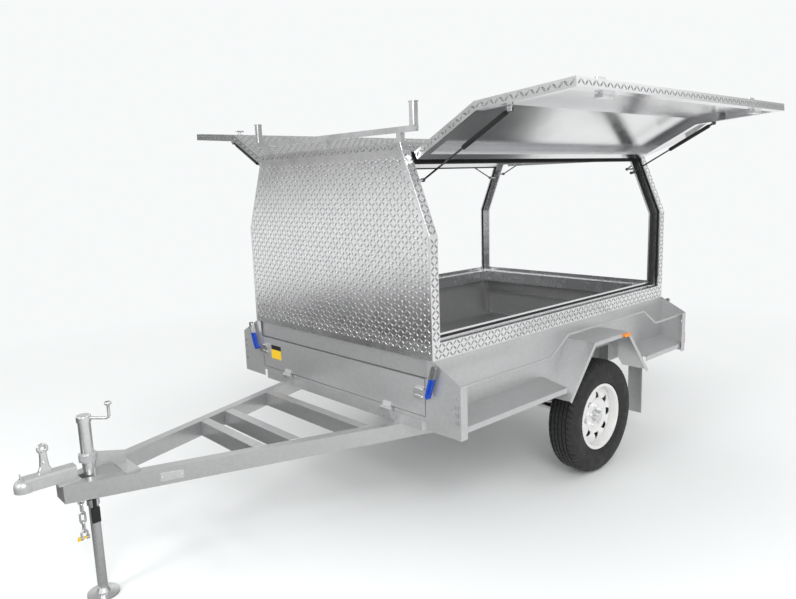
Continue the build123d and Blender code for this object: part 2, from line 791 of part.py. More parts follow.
# Over-centre latches at the gates' ends: hook plates, and grips that lean outward
latch_height = 726.0
latch_depth = 14.0
latch_plate_half = 26.0
latch_hook_reach = 48.0
latch_hook_half = 11.0
latch_inner = 60.0
latch_margin = 4.0
grip_length = 168.0
grip_width = 25.0
grip_lean = 72.0
grip_offset = 66.0
grip_rise = 68.0
grip_depth = 18.0
grip_standoff = 6.0
for name, face, outward in (("front", front, 1), ("rear", rear, -1)):
    with BuildPart() as latches:
        for side in (1, -1):
            with BuildSketch(Plane.YZ.offset(face)):
                outline([
                    (side * (gate_half_width - latch_inner), latch_height - latch_plate_half),
                    (side * (gate_half_width - latch_margin), latch_height - latch_plate_half),
                    (side * (gate_half_width + latch_hook_reach), latch_height - latch_hook_half),
                    (side * (gate_half_width + latch_hook_reach), latch_height + latch_hook_half),
                    (side * (gate_half_width - latch_margin), latch_height + latch_plate_half),
                    (side * (gate_half_width - latch_inner), latch_height + latch_plate_half),
                ])
            extrude(amount=outward * latch_depth)
            for tie in (latch_height - latch_plate_half + 9, latch_height + latch_plate_half - 9):
                with BuildSketch(Plane.YZ.offset(face + outward * latch_depth)):
                    with Locations((side * (gate_half_width - latch_inner / 2), tie)):
                        SlotOverall(latch_inner - 6, 12)
                extrude(amount=outward * 5)
    latches.part.label = "gate_latches_" + name
    export_step(latches.part, "parts/gate_latches_" + name + ".step")
    with BuildPart() as grips:
        for side in (1, -1):
            with BuildSketch(Plane.YZ.offset(face + outward * latch_depth)):
                with Locations((side * (gate_half_width + grip_offset), latch_height + grip_rise)):
                    SlotOverall(grip_length, grip_width, rotation=side * grip_lean)
            extrude(amount=outward * grip_depth)
            with BuildSketch(Plane.YZ.offset(face + outward * latch_depth)):
                with Locations((side * (gate_half_width + grip_offset), latch_height + grip_rise)):
                    SlotOverall(grip_length - 50, 9, rotation=side * grip_lean)
            extrude(amount=outward * (grip_depth + grip_standoff))
    grips.part.label = "gate_grips_" + name
    export_step(grips.part, "parts/gate_grips_" + name + ".step")

# Mudguards: three flat facets with a lip along the outer edge
for name, side in (("left", 1), ("right", -1)):
    guard = [
        (axle_x - guard_half_base, guard_base),
        (axle_x - guard_half_top, guard_top),
        (axle_x + guard_half_top, guard_top),
        (axle_x + guard_half_base, guard_base),
    ]
    near = half if side > 0 else -half - guard_reach
    with BuildPart() as mudguard:
        with BuildSketch(Plane.XZ.offset(-near - guard_reach)):
            outline(band(guard, 0, sheet))
        extrude(amount=guard_reach)
        lip = near + guard_reach if side > 0 else near + sheet
        with BuildSketch(Plane.XZ.offset(-lip)):
            outline(band(guard, 0, guard_lip))
        extrude(amount=sheet)
    mudguard.part.label = "mudguard_" + name
    export_step(mudguard.part, "parts/mudguard_" + name + ".step")

# Rope rails: bent rods between the corner plates, raised over the guards
rail_radius = 7.0
rail_across = half + 140
rail_low = 786.0
rail_high = 880.0
with BuildPart() as rope_rails:
    for side in (1, -1):
        with BuildLine(Plane.XZ.offset(-side * rail_across)) as rail_line:
            FilletPolyline(
                (front - sheet, rail_low),
                (axle_x + guard_half_base + 130, rail_low),
                (axle_x + guard_half_base - 20, rail_high),
                (axle_x - guard_half_base + 20, rail_high),
                (axle_x - guard_half_base - 130, rail_low),
                (rear + sheet, rail_low),
                radius=40,
            )
        with BuildSketch(Plane((front - sheet, side * rail_across, rail_low), z_dir=(-1, 0, 0))):
            Circle(rail_radius)
        sweep(path=rail_line.line)
rope_rails.part.label = "rope_rails"
export_step(rope_rails.part, "parts/rope_rails.step")

# Axle beam with its stubs
hub_inner = track_half - 62
with BuildPart() as axle:
    with BuildSketch(Plane.XZ.offset(hub_inner - 35)):
        with Locations((axle_x, wheel_height)):
            Rectangle(axle_beam, axle_beam)
    extrude(amount=-2 * (hub_inner - 35))
    with BuildSketch(Plane.XZ.offset(track_half)):
        with Locations((axle_x, wheel_height)):
            Circle(16)
    extrude(amount=-2 * track_half)
axle.part.label = "axle"
export_step(axle.part, "parts/axle.step")

# Leaf springs over the axle, with hangers and clamp plates
spring_low = wheel_height + axle_beam / 2
with BuildPart() as leaf_springs:
    for side in (1, -1):
        plane = Plane.XZ.offset(-side * spring_track - spring_width / 2)
        with BuildSketch(plane):
            with BuildLine():
                ThreePointArc(
                    (axle_x - spring_half_length, spring_eye_height),
                    (axle_x, spring_low),
                    (axle_x + spring_half_length, spring_eye_height),
                )
                Line(
                    (axle_x + spring_half_length, spring_eye_height),
                    (axle_x + spring_half_length, spring_eye_height + 10),
                )
                ThreePointArc(
                    (axle_x + spring_half_length, spring_eye_height + 10),
                    (axle_x, spring_low + spring_thickness + 4),
                    (axle_x - spring_half_length, spring_eye_height + 10),
                )
                Line(
                    (axle_x - spring_half_length, spring_eye_height + 10),
                    (axle_x - spring_half_length, spring_eye_height),
                )
            make_face()
            for end in (-1, 1):
                with Locations((axle_x + end * spring_half_length, spring_eye_height + 5)):
                    Circle(18)
        extrude(amount=spring_width)
        for ear in (spring_track + spring_width / 2 + 6, spring_track - spring_width / 2):
            edge = side * ear if side > 0 else -ear + 6
            with BuildSketch(Plane.XZ.offset(-edge)):
                for end in (-1, 1):
                    outline([
                        (axle_x + end * spring_half_length - 34, chassis_bottom),
                        (axle_x + end * spring_half_length + 34, chassis_bottom),
                        (axle_x + end * spring_half_length + 20, spring_eye_height - 18),
                        (axle_x + end * spring_half_length - 20, spring_eye_height - 18),
                    ])
            extrude(amount=6)
leaf_springs.part.label = "leaf_springs"
export_step(leaf_springs.part, "parts/leaf_springs.step")

# Spring clamps: a plate under the axle, four studs and a pad over the spring's middle
clamp_plate = 8.0
clamp_stud_radius = 6.0
clamp_seat = 5.5
clamp_length = axle_beam + 4 * clamp_stud_radius + 6
clamp_width = spring_width + 4 * clamp_stud_radius + 4
clamp_along = axle_beam / 2 + clamp_stud_radius + 0.5
clamp_across = spring_width / 2 + clamp_stud_radius + 0.5
clamp_low = wheel_height - axle_beam / 2 - clamp_plate
clamp_high = spring_low + spring_thickness + clamp_seat
with BuildPart() as spring_clamps:
    for side in (1, -1):
        for height in (clamp_low, clamp_high):
            with BuildSketch(Plane.XY.offset(height)):
                with Locations((axle_x, side * spring_track)):
                    Rectangle(clamp_length, clamp_width)
            extrude(amount=clamp_plate)
        with BuildSketch(Plane.XY.offset(clamp_low)):
            with Locations((axle_x, side * spring_track)):
                with GridLocations(2 * clamp_along, 2 * clamp_across, 2, 2):
                    Circle(clamp_stud_radius)
        extrude(amount=clamp_high + 2 * clamp_plate + 4 - clamp_low)
spring_clamps.part.label = "spring_clamps"
export_step(spring_clamps.part, "parts/spring_clamps.step")

# Wheels: tyre, rim with a pierced disc, and hub
tyre_half = tyre_width / 2
bead_gap = 0.3
bead_half = rim_width / 2 - 8 - bead_gap
disc_out = 30.0
for name, side in (("left", 1), ("right", -1)):
    middle = side * track_half
    spin = Axis((axle_x, 0, wheel_height), (0, 1, 0))
    with BuildPart() as tyre:
        with BuildSketch(Plane.YZ.offset(axle_x)):
            with BuildLine():
                Polyline(
                    (middle - bead_half - 9, wheel_height + rim_flange_radius - 4),
                    (middle - tyre_half, wheel_height + 246),
                    (middle - tyre_half + 6, wheel_height + 300),
                    (middle - tyre_half + 26, wheel_height + tyre_radius - 5),
                    (middle, wheel_height + tyre_radius),
                    (middle + tyre_half - 26, wheel_height + tyre_radius - 5),
                    (middle + tyre_half - 6, wheel_height + 300),
                    (middle + tyre_half, wheel_height + 246),
                    (middle + bead_half + 9, wheel_height + rim_flange_radius - 4),
                    (middle + bead_half, wheel_height + rim_flange_radius - 7),
                    (middle + bead_half, wheel_height + rim_radius + bead_gap),
                    (middle - bead_half, wheel_height + rim_radius + bead_gap),
                    (middle - bead_half, wheel_height + rim_flange_radius - 7),
                    close=True,
                )
            make_face()
        revolve(axis=spin)
    tyre.part.label = "tyre_" + name
    export_step(tyre.part, "parts/tyre_" + name + ".step")

    face_y = middle + side * disc_out
    with BuildPart() as rim:
        with BuildSketch(Plane.YZ.offset(axle_x)):
            outline([
                (middle - rim_width / 2, wheel_height + rim_flange_radius - 8),
                (middle - rim_width / 2 + 6, wheel_height + rim_flange_radius - 8),
                (middle - rim_width / 2 + 8, wheel_height + rim_radius),
                (middle + rim_width / 2 - 8, wheel_height + rim_radius),
                (middle + rim_width / 2 - 6, wheel_height + rim_flange_radius - 8),
                (middle + rim_width / 2, wheel_height + rim_flange_radius - 8),
                (middle + rim_width / 2, wheel_height + rim_radius - 4),
                (middle + rim_width / 2 - 20, wheel_height + rim_radius - 8),
                (middle - rim_width / 2 + 20, wheel_height + rim_radius - 8),
                (middle - rim_width / 2, wheel_height + rim_radius - 4),
            ])
        revolve(axis=spin)
        with BuildSketch(Plane.YZ.offset(axle_x)):
            outline([
                (face_y, wheel_height + 34),
                (face_y, wheel_height + 92),
                (face_y + side * 14, wheel_height + 118),
                (face_y - side * 6, wheel_height + rim_radius - 7),
                (face_y - side * 12, wheel_height + rim_radius - 7),
                (face_y + side * 8, wheel_height + 116),
                (face_y - side * 6, wheel_height + 94),
                (face_y - side * 6, wheel_height + 34),
            ])
        revolve(axis=spin)
        with BuildSketch(Plane.XZ.offset(-face_y - 40)):
            with Locations((axle_x, wheel_height)):
                with PolarLocations(144, 8):
                    Triangle(a=34, b=28, c=28, rotation=90)
        extrude(amount=80, mode=Mode.SUBTRACT)
    rim.part.label = "rim_" + name
    export_step(rim.part, "parts/rim_" + name + ".step")

    with BuildPart() as hub:
        with BuildSketch(Plane.YZ.offset(axle_x)):
            outline([
                (middle - side * 60, wheel_height + 17),
                (middle - side * 60, wheel_height + 40),
                (face_y - side * 16, wheel_height + 40),
                (face_y - side * 16, wheel_height + hub_radius),
                (face_y - side * 6, wheel_height + hub_radius),
                (face_y - side * 6, wheel_height + 33),
                (face_y + side * 26, wheel_height + 31),
                (face_y + side * 34, wheel_height + 22),
                (face_y + side * 34, wheel_height),
                (middle + side * 8, wheel_height),
                (middle + side * 8, wheel_height + 17),
            ])
        revolve(axis=spin)
    hub.part.label = "hub_" + name
    export_step(hub.part, "parts/hub_" + name + ".step")

# Canopy frame: sill channel, end rings, side headers and seal flanges
inner_length = tub_length - front_post - rear_post
opening_mid = (front - front_post + rear + rear_post) / 2
with BuildPart() as canopy_frame:
    with BuildSketch(Plane.XY.offset(tub_top)):
        with Locations(((front + rear) / 2, 0)):
            Rectangle(tub_length, tub_width)
            Rectangle(tub_length - 2 * sill_width, tub_width - 2 * sill_width, mode=Mode.SUBTRACT)
    extrude(amount=sill_top - tub_top)
    with BuildSketch(Plane.XY.offset(tub_top)):
        with Locations(((front + rear) / 2, 0)):
            Rectangle(tub_length - 2 * sheet, tub_width - 2 * sheet)
            Rectangle(
                tub_length - 2 * (sill_width - sheet),
                tub_width - 2 * (sill_width - sheet),
                mode=Mode.SUBTRACT,
            )
    extrude(amount=sill_top - tub_top - sheet, mode=Mode.SUBTRACT)
    for start, thick in ((rear, rear_post), (front - front_post, front_post - sheet)):
        with BuildSketch(Plane.YZ.offset(start)):
            outline(section(0, sill_top - sheet, roof_height))
            outline(section(post_depth, sill_top - sheet, roof_height - hinge_drop), mode=Mode.SUBTRACT)
        extrude(amount=thick)
    corner_side = [roof_corner, along(roof_corner, bend_point, hinge_drop)]
    header_low = shifted(corner_side, -flange_depth - sheet)[1]
    for side in (1, -1):
        with BuildSketch(Plane.YZ.offset(rear)):
            outline([(side * y, z) for y, z in corner_side + [header_low, (header_low[0], roof_height)]])
        extrude(amount=tub_length - sheet)
        flange_out = band(side_path(hinge_drop, sill_top), flange_depth, flange_depth + sheet)
        flange_in = band(
            side_path(hinge_drop + flange_width, sill_top + flange_width),
            flange_depth - 1,
            flange_depth + sheet + 1,
        )
        with BuildSketch(Plane.YZ.offset(rear + rear_post)):
            outline([(side * y, z) for y, z in flange_out])
        extrude(amount=inner_length)
        with BuildSketch(Plane.YZ.offset(rear + rear_post + flange_width)):
            outline([(side * y, z) for y, z in flange_in])
        extrude(amount=inner_length - 2 * flange_width, mode=Mode.SUBTRACT)
    with BuildSketch(Plane.YZ.offset(rear + flange_depth)):
        outline(section(post_depth - 1, sill_top - 1, roof_height - hinge_drop + 1))
        rear_hole = section(
            post_depth + flange_width,
            sill_top + flange_width,
            roof_height - hinge_drop - flange_width,
        )
        outline(rear_hole, mode=Mode.SUBTRACT)
    extrude(amount=sheet)
canopy_frame.part.label = "canopy_frame"
export_step(canopy_frame.part, "parts/canopy_frame.step")

# Front panel of the canopy
with BuildPart() as canopy_front:
    with BuildSketch(Plane.YZ.offset(front - sheet)):
        outline(section(0, sill_top, roof_height))
    extrude(amount=sheet)
canopy_front.part.label = "canopy_front"
export_step(canopy_front.part, "parts/canopy_front.step")

# Roof skin, folded down over the sides and the rear
with BuildPart() as canopy_roof:
    fold_point = along(roof_corner, bend_point, roof_fold)
    skin = [(-fold_point[0], fold_point[1]), (-roof_half, roof_height), roof_corner, fold_point]
    with BuildSketch(Plane.YZ.offset(rear - sheet)):
        outline(skin + shifted(skin, sheet)[::-1])
    extrude(amount=tub_length + sheet)
    with BuildSketch(Plane.YZ.offset(rear - sheet)):
        fold_half = inset_half_width(roof_height - roof_fold, 0)
        outline([
            (-fold_half, roof_height - roof_fold),
            (fold_half, roof_height - roof_fold),
            (roof_half, roof_height),
            (-roof_half, roof_height),
        ])
    extrude(amount=sheet)
canopy_roof.part.label = "canopy_roof"
export_step(canopy_roof.part, "parts/canopy_roof.step")

# Seals on the flanges round the three doorways
side_seal = side_path(hinge_drop + 8, sill_top + 8)
side_seal_hole = side_path(hinge_drop + 8 + seal_width, sill_top + 8 + seal_width)
seal_start = rear + rear_post + 8
seal_length = inner_length - 16
with BuildPart() as door_seals:
    for side in (1, -1):
        ring = band(side_seal, flange_depth - seal, flange_depth)
        hole = band(side_seal_hole, flange_depth - seal - 1, flange_depth + 1)
        with BuildSketch(Plane.YZ.offset(seal_start)):
            outline([(side * y, z) for y, z in ring])
        extrude(amount=seal_length)
        with BuildSketch(Plane.YZ.offset(seal_start + seal_width)):
            outline([(side * y, z) for y, z in hole])
        extrude(amount=seal_length - 2 * seal_width, mode=Mode.SUBTRACT)
    with BuildSketch(Plane.YZ.offset(rear + flange_depth - seal)):
        outline(section(post_depth + 8, sill_top + 8, roof_height - hinge_drop - 8))
        inner_ring = section(
            post_depth + 8 + seal_width,
            sill_top + 8 + seal_width,
            roof_height - hinge_drop - 8 - seal_width,
        )
        outline(inner_ring, mode=Mode.SUBTRACT)
    extrude(amount=seal)
door_seals.part.label = "door_seals"
export_step(door_seals.part, "parts/door_seals.step")

# Side door hinges on the roof's edge: leaf, two ears and a pin, three to a side
hinge_stations = (front - 300.0, opening_mid, rear + 300.0)
leaf_top = along(roof_corner, bend_point, 8)
leaf_low = along(roof_corner, bend_point, roof_fold)
leaf_foot = along(roof_corner, bend_point, roof_fold - 5)
root_leaf = band([leaf_top, leaf_foot], -2 * sheet, -sheet)
ear_outline = shifted([along(roof_corner, bend_point, roof_fold - 8), leaf_low], sheet)
ear_outline = ear_outline + [side_hinge]
barrel_half = door_hinge_length / 2
with BuildPart() as door_hinges:
    for side in (1, -1):
        for station in hinge_stations:
            with BuildSketch(Plane.YZ.offset(station - barrel_half - door_hinge_ear)):
                outline([(side * y, z) for y, z in root_leaf])
            extrude(amount=door_hinge_length + 2 * door_hinge_ear)
            for ear in (station - barrel_half - door_hinge_ear, station + barrel_half):
                with BuildSketch(Plane.YZ.offset(ear)):
                    with Locations((side * side_hinge[0], side_hinge[1])):
                        Circle(door_barrel_radius)
                    outline([(side * y, z) for y, z in ear_outline])
                extrude(amount=door_hinge_ear)
            with BuildSketch(Plane.YZ.offset(station - barrel_half - door_hinge_ear)):
                with Locations((side * side_hinge[0], side_hinge[1])):
                    Circle(door_pin_radius)
            extrude(amount=door_hinge_length + 2 * door_hinge_ear)
    rear_axis_x = rear - hinge_lift
    for station in (-roof_half + 130, roof_half - 130):
        with BuildSketch(Plane.XZ.offset(-station - barrel_half - door_hinge_ear)):
            outline([
                (rear - sheet, roof_height - 8),
                (rear - 2 * sheet, roof_height - 8),
                (rear - 2 * sheet, roof_height - roof_fold + 5),
                (rear - sheet, roof_height - roof_fold + 5),
            ])
        extrude(amount=door_hinge_length + 2 * door_hinge_ear)
        for ear in (station + barrel_half + door_hinge_ear, station - barrel_half):
            with BuildSketch(Plane.XZ.offset(-ear)):
                with Locations((rear_axis_x, rear_hinge_height)):
                    Circle(door_barrel_radius)
                outline([
                    (rear - sheet, roof_height - roof_fold + 8),
                    (rear_axis_x - door_barrel_radius, rear_hinge_height),
                    (rear_axis_x, rear_hinge_height),
                    (rear - sheet, roof_height - roof_fold),
                ])
            extrude(amount=door_hinge_ear)
        with BuildSketch(Plane.XZ.offset(-station - barrel_half - door_hinge_ear)):
            with Locations((rear_axis_x, rear_hinge_height)):
                Circle(door_pin_radius)
        extrude(amount=door_hinge_length + 2 * door_hinge_ear)
door_hinges.part.label = "door_hinges"
export_step(door_hinges.part, "parts/door_hinges.step")

# Side doors, drawn shut and then raised: a bent pan with an inner frame
door_start = rear + rear_post + door_gap
door_length = inner_length - 2 * door_gap
door_top = hinge_drop + door_gap
door_low = sill_top + door_gap
strut_stations = (front - strut_inset, rear + strut_inset)
strut_pin = shifted([along(roof_corner, bend_point, strut_drop), bend_point], -strut_pin_depth)[0]
strut_door_shut = (half - strut_door_depth, canopy_bend - strut_door_drop)
lock_inset = 330.0
lock_rise = 45.0
lock_radius = 11.0
lock_box_rise = 54.0
lock_box_length = 90.0
lock_box_height = 36.0
lock_box_depth = 16.0
lock_stations = (front - lock_inset, rear + lock_inset)
side_axis = Axis((0, side_hinge[0], side_hinge[1]), (1, 0, 0))
with BuildPart() as door_shut:
    with BuildSketch(Plane.YZ.offset(door_start)):
        outline(band(side_path(door_top, door_low), 0, door_depth))
    extrude(amount=door_length)
    with BuildSketch(Plane.YZ.offset(door_start + sheet)):
        outline(band(side_path(door_top + sheet, door_low + sheet), sheet, door_depth - sheet))
    extrude(amount=door_length - 2 * sheet, mode=Mode.SUBTRACT)
    with BuildSketch(Plane.YZ.offset(door_start + door_frame)):
        hole = side_path(door_top + door_frame, door_low + door_frame)
        outline(band(hole, door_depth - sheet - 1, door_depth + 1))
    extrude(amount=door_length - 2 * door_frame, mode=Mode.SUBTRACT)
    for station in lock_stations:
        with BuildSketch(Plane.XZ.offset(-half - 1)):
            with Locations((station, door_low + lock_rise + 25)):
                Circle(lock_radius + pin_clearance)
        extrude(amount=sheet + 2, mode=Mode.SUBTRACT)
    leaf_start = along(roof_corner, bend_point, hinge_drop)
    leaf_end = along(roof_corner, bend_point, hinge_drop + 36)
    for station in hinge_stations:
        with BuildSketch(Plane.YZ.offset(station - barrel_half + 0.5)):
            outline(band([leaf_start, leaf_end], -sheet, 0))
            with Locations(side_hinge):
                Circle(door_barrel_radius)
                Circle(door_pin_radius + pin_clearance, mode=Mode.SUBTRACT)
        extrude(amount=door_hinge_length - 1)
    for station, inward in zip(strut_stations, (-1, 1)):
        bracket = station - inward * (strut_eye_width / 2 + 1)
        with BuildSketch(Plane.YZ.offset(bracket)):
            outline([
                (half - sheet, strut_door_shut[1] - 20),
                (half - sheet, strut_door_shut[1] + 20),
                (strut_door_shut[0] - 9, strut_door_shut[1] + 9),
                (strut_door_shut[0] - 9, strut_door_shut[1] - 9),
            ])
        extrude(amount=-inward * 5)
        with BuildSketch(Plane.YZ.offset(bracket - inward * 5)):
            with Locations(strut_door_shut):
                Circle(strut_pin_radius)
        extrude(amount=inward * (strut_eye_width + 9))
door_raised = door_shut.part.rotate(side_axis, side_open)
with BuildPart() as door_left:
    add(door_raised)
door_left.part.label = "door_left"
export_step(door_left.part, "parts/door_left.step")
with BuildPart() as door_right:
    add(mirror(door_raised, about=Plane.XZ))
door_right.part.label = "door_right"
export_step(door_right.part, "parts/door_right.step")

# Locks of the side doors: a turning handle outside and a latch body inside
with BuildPart() as locks_shut:
    for station in lock_stations:
        lock_height = door_low + lock_rise + 25
        with BuildSketch(Plane.XZ.offset(-half)):
            with Locations((station, lock_height)):
                Circle(19)
        extrude(amount=-5)
        with BuildSketch(Plane.XZ.offset(-half)):
            with Locations((station, lock_height)):
                Circle(lock_radius)
        extrude(amount=door_depth - 6)
        with BuildSketch(Plane.XZ.offset(-half - 5)):
            with Locations((station, lock_height)):
                Circle(7)
        extrude(amount=-14)
        with BuildSketch(Plane.XZ.offset(-half - 19)):
            with Locations((station, lock_height)):
                SlotOverall(62, 14)
        extrude(amount=-10)
        with BuildSketch(Plane.XZ.offset(-half + door_depth)):
            with Locations((station, door_low + lock_box_rise)):
                Rectangle(lock_box_length, lock_box_height)
        extrude(amount=lock_box_depth)
locks_raised = locks_shut.part.rotate(side_axis, side_open)
with BuildPart() as door_locks_left:
    add(locks_raised)
door_locks_left.part.label = "door_locks_left"
export_step(door_locks_left.part, "parts/door_locks_left.step")
with BuildPart() as door_locks_right:
    add(mirror(locks_raised, about=Plane.XZ))
door_locks_right.part.label = "door_locks_right"
export_step(door_locks_right.part, "parts/door_locks_right.step")

# Rear door, drawn shut and then raised: a flat pan with leaning upper sides
rear_axis = Axis((rear_axis_x, 0, rear_hinge_height), (0, 1, 0))
rear_inset = post_depth + door_gap
rear_door_top = rear_hinge_height - door_gap
rear_strut_pin = (rear + strut_pin_depth, rear_hinge_height - rear_strut_drop)
rear_strut_shut = (rear + strut_door_depth, rear_hinge_height - rear_strut_door_drop)
with BuildPart() as rear_door_shut:
    with BuildSketch(Plane.YZ.offset(rear)):
        outline(section(rear_inset, rear_door_bottom, rear_door_top))
    extrude(amount=door_depth)
    with BuildSketch(Plane.YZ.offset(rear + sheet)):
        outline(section(rear_inset + sheet, rear_door_bottom + sheet, rear_door_top - sheet))
    extrude(amount=door_depth - 2 * sheet, mode=Mode.SUBTRACT)
    with BuildSketch(Plane.YZ.offset(rear + door_depth - sheet)):
        outline(section(
            rear_inset + door_frame,
            rear_door_bottom + door_frame,
            rear_door_top - door_frame,
        ))
    extrude(amount=sheet, mode=Mode.SUBTRACT)
    for station in (-roof_half + 130, roof_half - 130):
        with BuildSketch(Plane.XZ.offset(-station - barrel_half + 0.5)):
            outline([
                (rear, rear_hinge_height),
                (rear - sheet, rear_hinge_height),
                (rear - sheet, rear_hinge_height - 36),
                (rear, rear_hinge_height - 36),
            ])
            with Locations((rear_axis_x, rear_hinge_height)):
                Circle(door_barrel_radius)
                Circle(door_pin_radius + pin_clearance, mode=Mode.SUBTRACT)
        extrude(amount=door_hinge_length - 1)
    for side in (1, -1):
        bracket = side * (rear_strut_half + strut_eye_width / 2 + 1)
        with BuildSketch(Plane.XZ.offset(-bracket)):
            outline([
                (rear + sheet, rear_strut_shut[1] - 20),
                (rear + sheet, rear_strut_shut[1] + 20),
                (rear_strut_shut[0] + 9, rear_strut_shut[1] + 9),
                (rear_strut_shut[0] + 9, rear_strut_shut[1] - 9),
            ])
        extrude(amount=-side * 5)
        with BuildSketch(Plane.XZ.offset(-bracket - side * 5)):
            with Locations(rear_strut_shut):
                Circle(strut_pin_radius)
        extrude(amount=side * (strut_eye_width + 9))
    with BuildSketch(Plane.YZ.offset(rear)):
        with Locations((0, rear_door_bottom + lock_rise + 25)):
            Circle(19)
    extrude(amount=-5)
    with BuildSketch(Plane.YZ.offset(rear - 5)):
        with Locations((0, rear_door_bottom + lock_rise + 25)):
            Circle(7)
    extrude(amount=-14)
    with BuildSketch(Plane.YZ.offset(rear - 19)):
        with Locations((0, rear_door_bottom + lock_rise + 25)):
            SlotOverall(62, 14)
    extrude(amount=-10)
with BuildPart() as door_rear:
    add(rear_door_shut.part.rotate(rear_axis, rear_open))
door_rear.part.label = "door_rear"
export_step(door_rear.part, "parts/door_rear.step")

# Gas struts: a tube pinned to the door and a rod whose eye stands beside the post's pin
side_door_pin = turned(strut_door_shut, side_hinge, side_open)
rear_turn = rear_axis_x, rear_hinge_height
rear_door_pin = turned(rear_strut_shut, rear_turn, -rear_open)
side_span = hypot(strut_pin[0] - side_door_pin[0], strut_pin[1] - side_door_pin[1])
rear_span = hypot(rear_strut_pin[0] - rear_door_pin[0], rear_strut_pin[1] - rear_door_pin[1])
strut_table = (
    ("left", [(x, side_door_pin[0], side_door_pin[1]) for x in strut_stations],
     (0, strut_pin[0] - side_door_pin[0], strut_pin[1] - side_door_pin[1]), side_span, (1, 0, 0)),
    ("right", [(x, -side_door_pin[0], side_door_pin[1]) for x in strut_stations],
     (0, side_door_pin[0] - strut_pin[0], strut_pin[1] - side_door_pin[1]), side_span, (1, 0, 0)),
    ("rear", [(rear_door_pin[0], y, rear_door_pin[1]) for y in (rear_strut_half, -rear_strut_half)],
     (rear_strut_pin[0] - rear_door_pin[0], 0, rear_strut_pin[1] - rear_door_pin[1]), rear_span, (0, 1, 0)),
)
for name, pins, direction, span, pin_axis in strut_table:
    with BuildPart() as tubes:
        for pin in pins:
            aim = Plane(pin, x_dir=pin_axis, z_dir=direction)
            with BuildSketch(aim.offset(strut_neck)):
                Circle(strut_tube_radius)
            extrude(amount=strut_tube_length - strut_neck)
            with BuildSketch(aim.offset(strut_neck + strut_stop)):
                Circle(strut_bore_radius)
            extrude(amount=strut_tube_length, mode=Mode.SUBTRACT)
            across = Plane(pin, x_dir=direction, z_dir=pin_axis)
            with BuildSketch(across.offset(-strut_eye_width / 2)):
                Circle(strut_eye_radius)
                with Locations((strut_neck / 2, 0)):
                    Rectangle(strut_neck, strut_eye_radius)
            extrude(amount=strut_eye_width)
            with BuildSketch(across.offset(-strut_tube_radius - 1)):
                Circle(strut_pin_radius + pin_clearance)
            extrude(amount=2 * strut_tube_radius + 2, mode=Mode.SUBTRACT)
    tubes.part.label = "strut_tubes_" + name
    export_step(tubes.part, "parts/strut_tubes_" + name + ".step")
    with BuildPart() as rods:
        for pin in pins:
            aim = Plane(pin, x_dir=pin_axis, z_dir=direction)
            with BuildSketch(aim.offset(strut_tube_length - strut_rod_inside)):
                Circle(strut_rod_radius)
            extrude(amount=span - strut_tube_length + strut_rod_inside - strut_eye_radius + 2)
            far_pin = aim.offset(span).origin
            across = Plane(far_pin, x_dir=direction, z_dir=pin_axis)
            with BuildSketch(across.offset(-strut_eye_width / 2)):
                Circle(strut_eye_radius)
            extrude(amount=strut_eye_width)
    rods.part.label = "strut_rods_" + name
    export_step(rods.part, "parts/strut_rods_" + name + ".step")

# Studs on the canopy's seal flanges that the rods' eyes stand beside
stud_gap = 0.3
pad_half = 12.0
pad_length = 22.0
with BuildPart() as strut_studs:
    for side in (1, -1):
        pad_top = along(roof_corner, bend_point, strut_drop - pad_half)
        pad_low = along(roof_corner, bend_point, strut_drop + pad_half)
        pad = band([pad_top, pad_low], flange_depth + sheet, strut_pin_depth)
        for station, inward in zip(strut_stations, (-1, 1)):
            stud_end = station - inward * (strut_eye_width / 2 + stud_gap)
            stud_root = station - inward * (strut_inset - front_post - pad_length / 2)
            with BuildSketch(Plane.YZ.offset(stud_root)):
                with Locations((side * strut_pin[0], strut_pin[1])):
                    Circle(strut_stud_radius)
            extrude(amount=stud_end - stud_root)
            with BuildSketch(Plane.YZ.offset(stud_root)):
                outline([(side * y, z) for y, z in pad])
            extrude(amount=inward * pad_length / 2, both=True)
        stud_root = inset_half_width(rear_strut_pin[1], post_depth + flange_width / 2)
        stud_end = rear_strut_half + strut_eye_width / 2 + stud_gap
        with BuildSketch(Plane.XZ.offset(-side * stud_end)):
            with Locations(rear_strut_pin):
                Circle(strut_stud_radius)
        extrude(amount=-side * (stud_root - stud_end))
        with BuildSketch(Plane.YZ.offset(rear + flange_depth + sheet)):
            with Locations((side * stud_root, rear_strut_pin[1])):
                Rectangle(pad_length, 2 * pad_half)
        extrude(amount=strut_pad)
strut_studs.part.label = "strut_studs"
export_step(strut_studs.part, "parts/strut_studs.step")

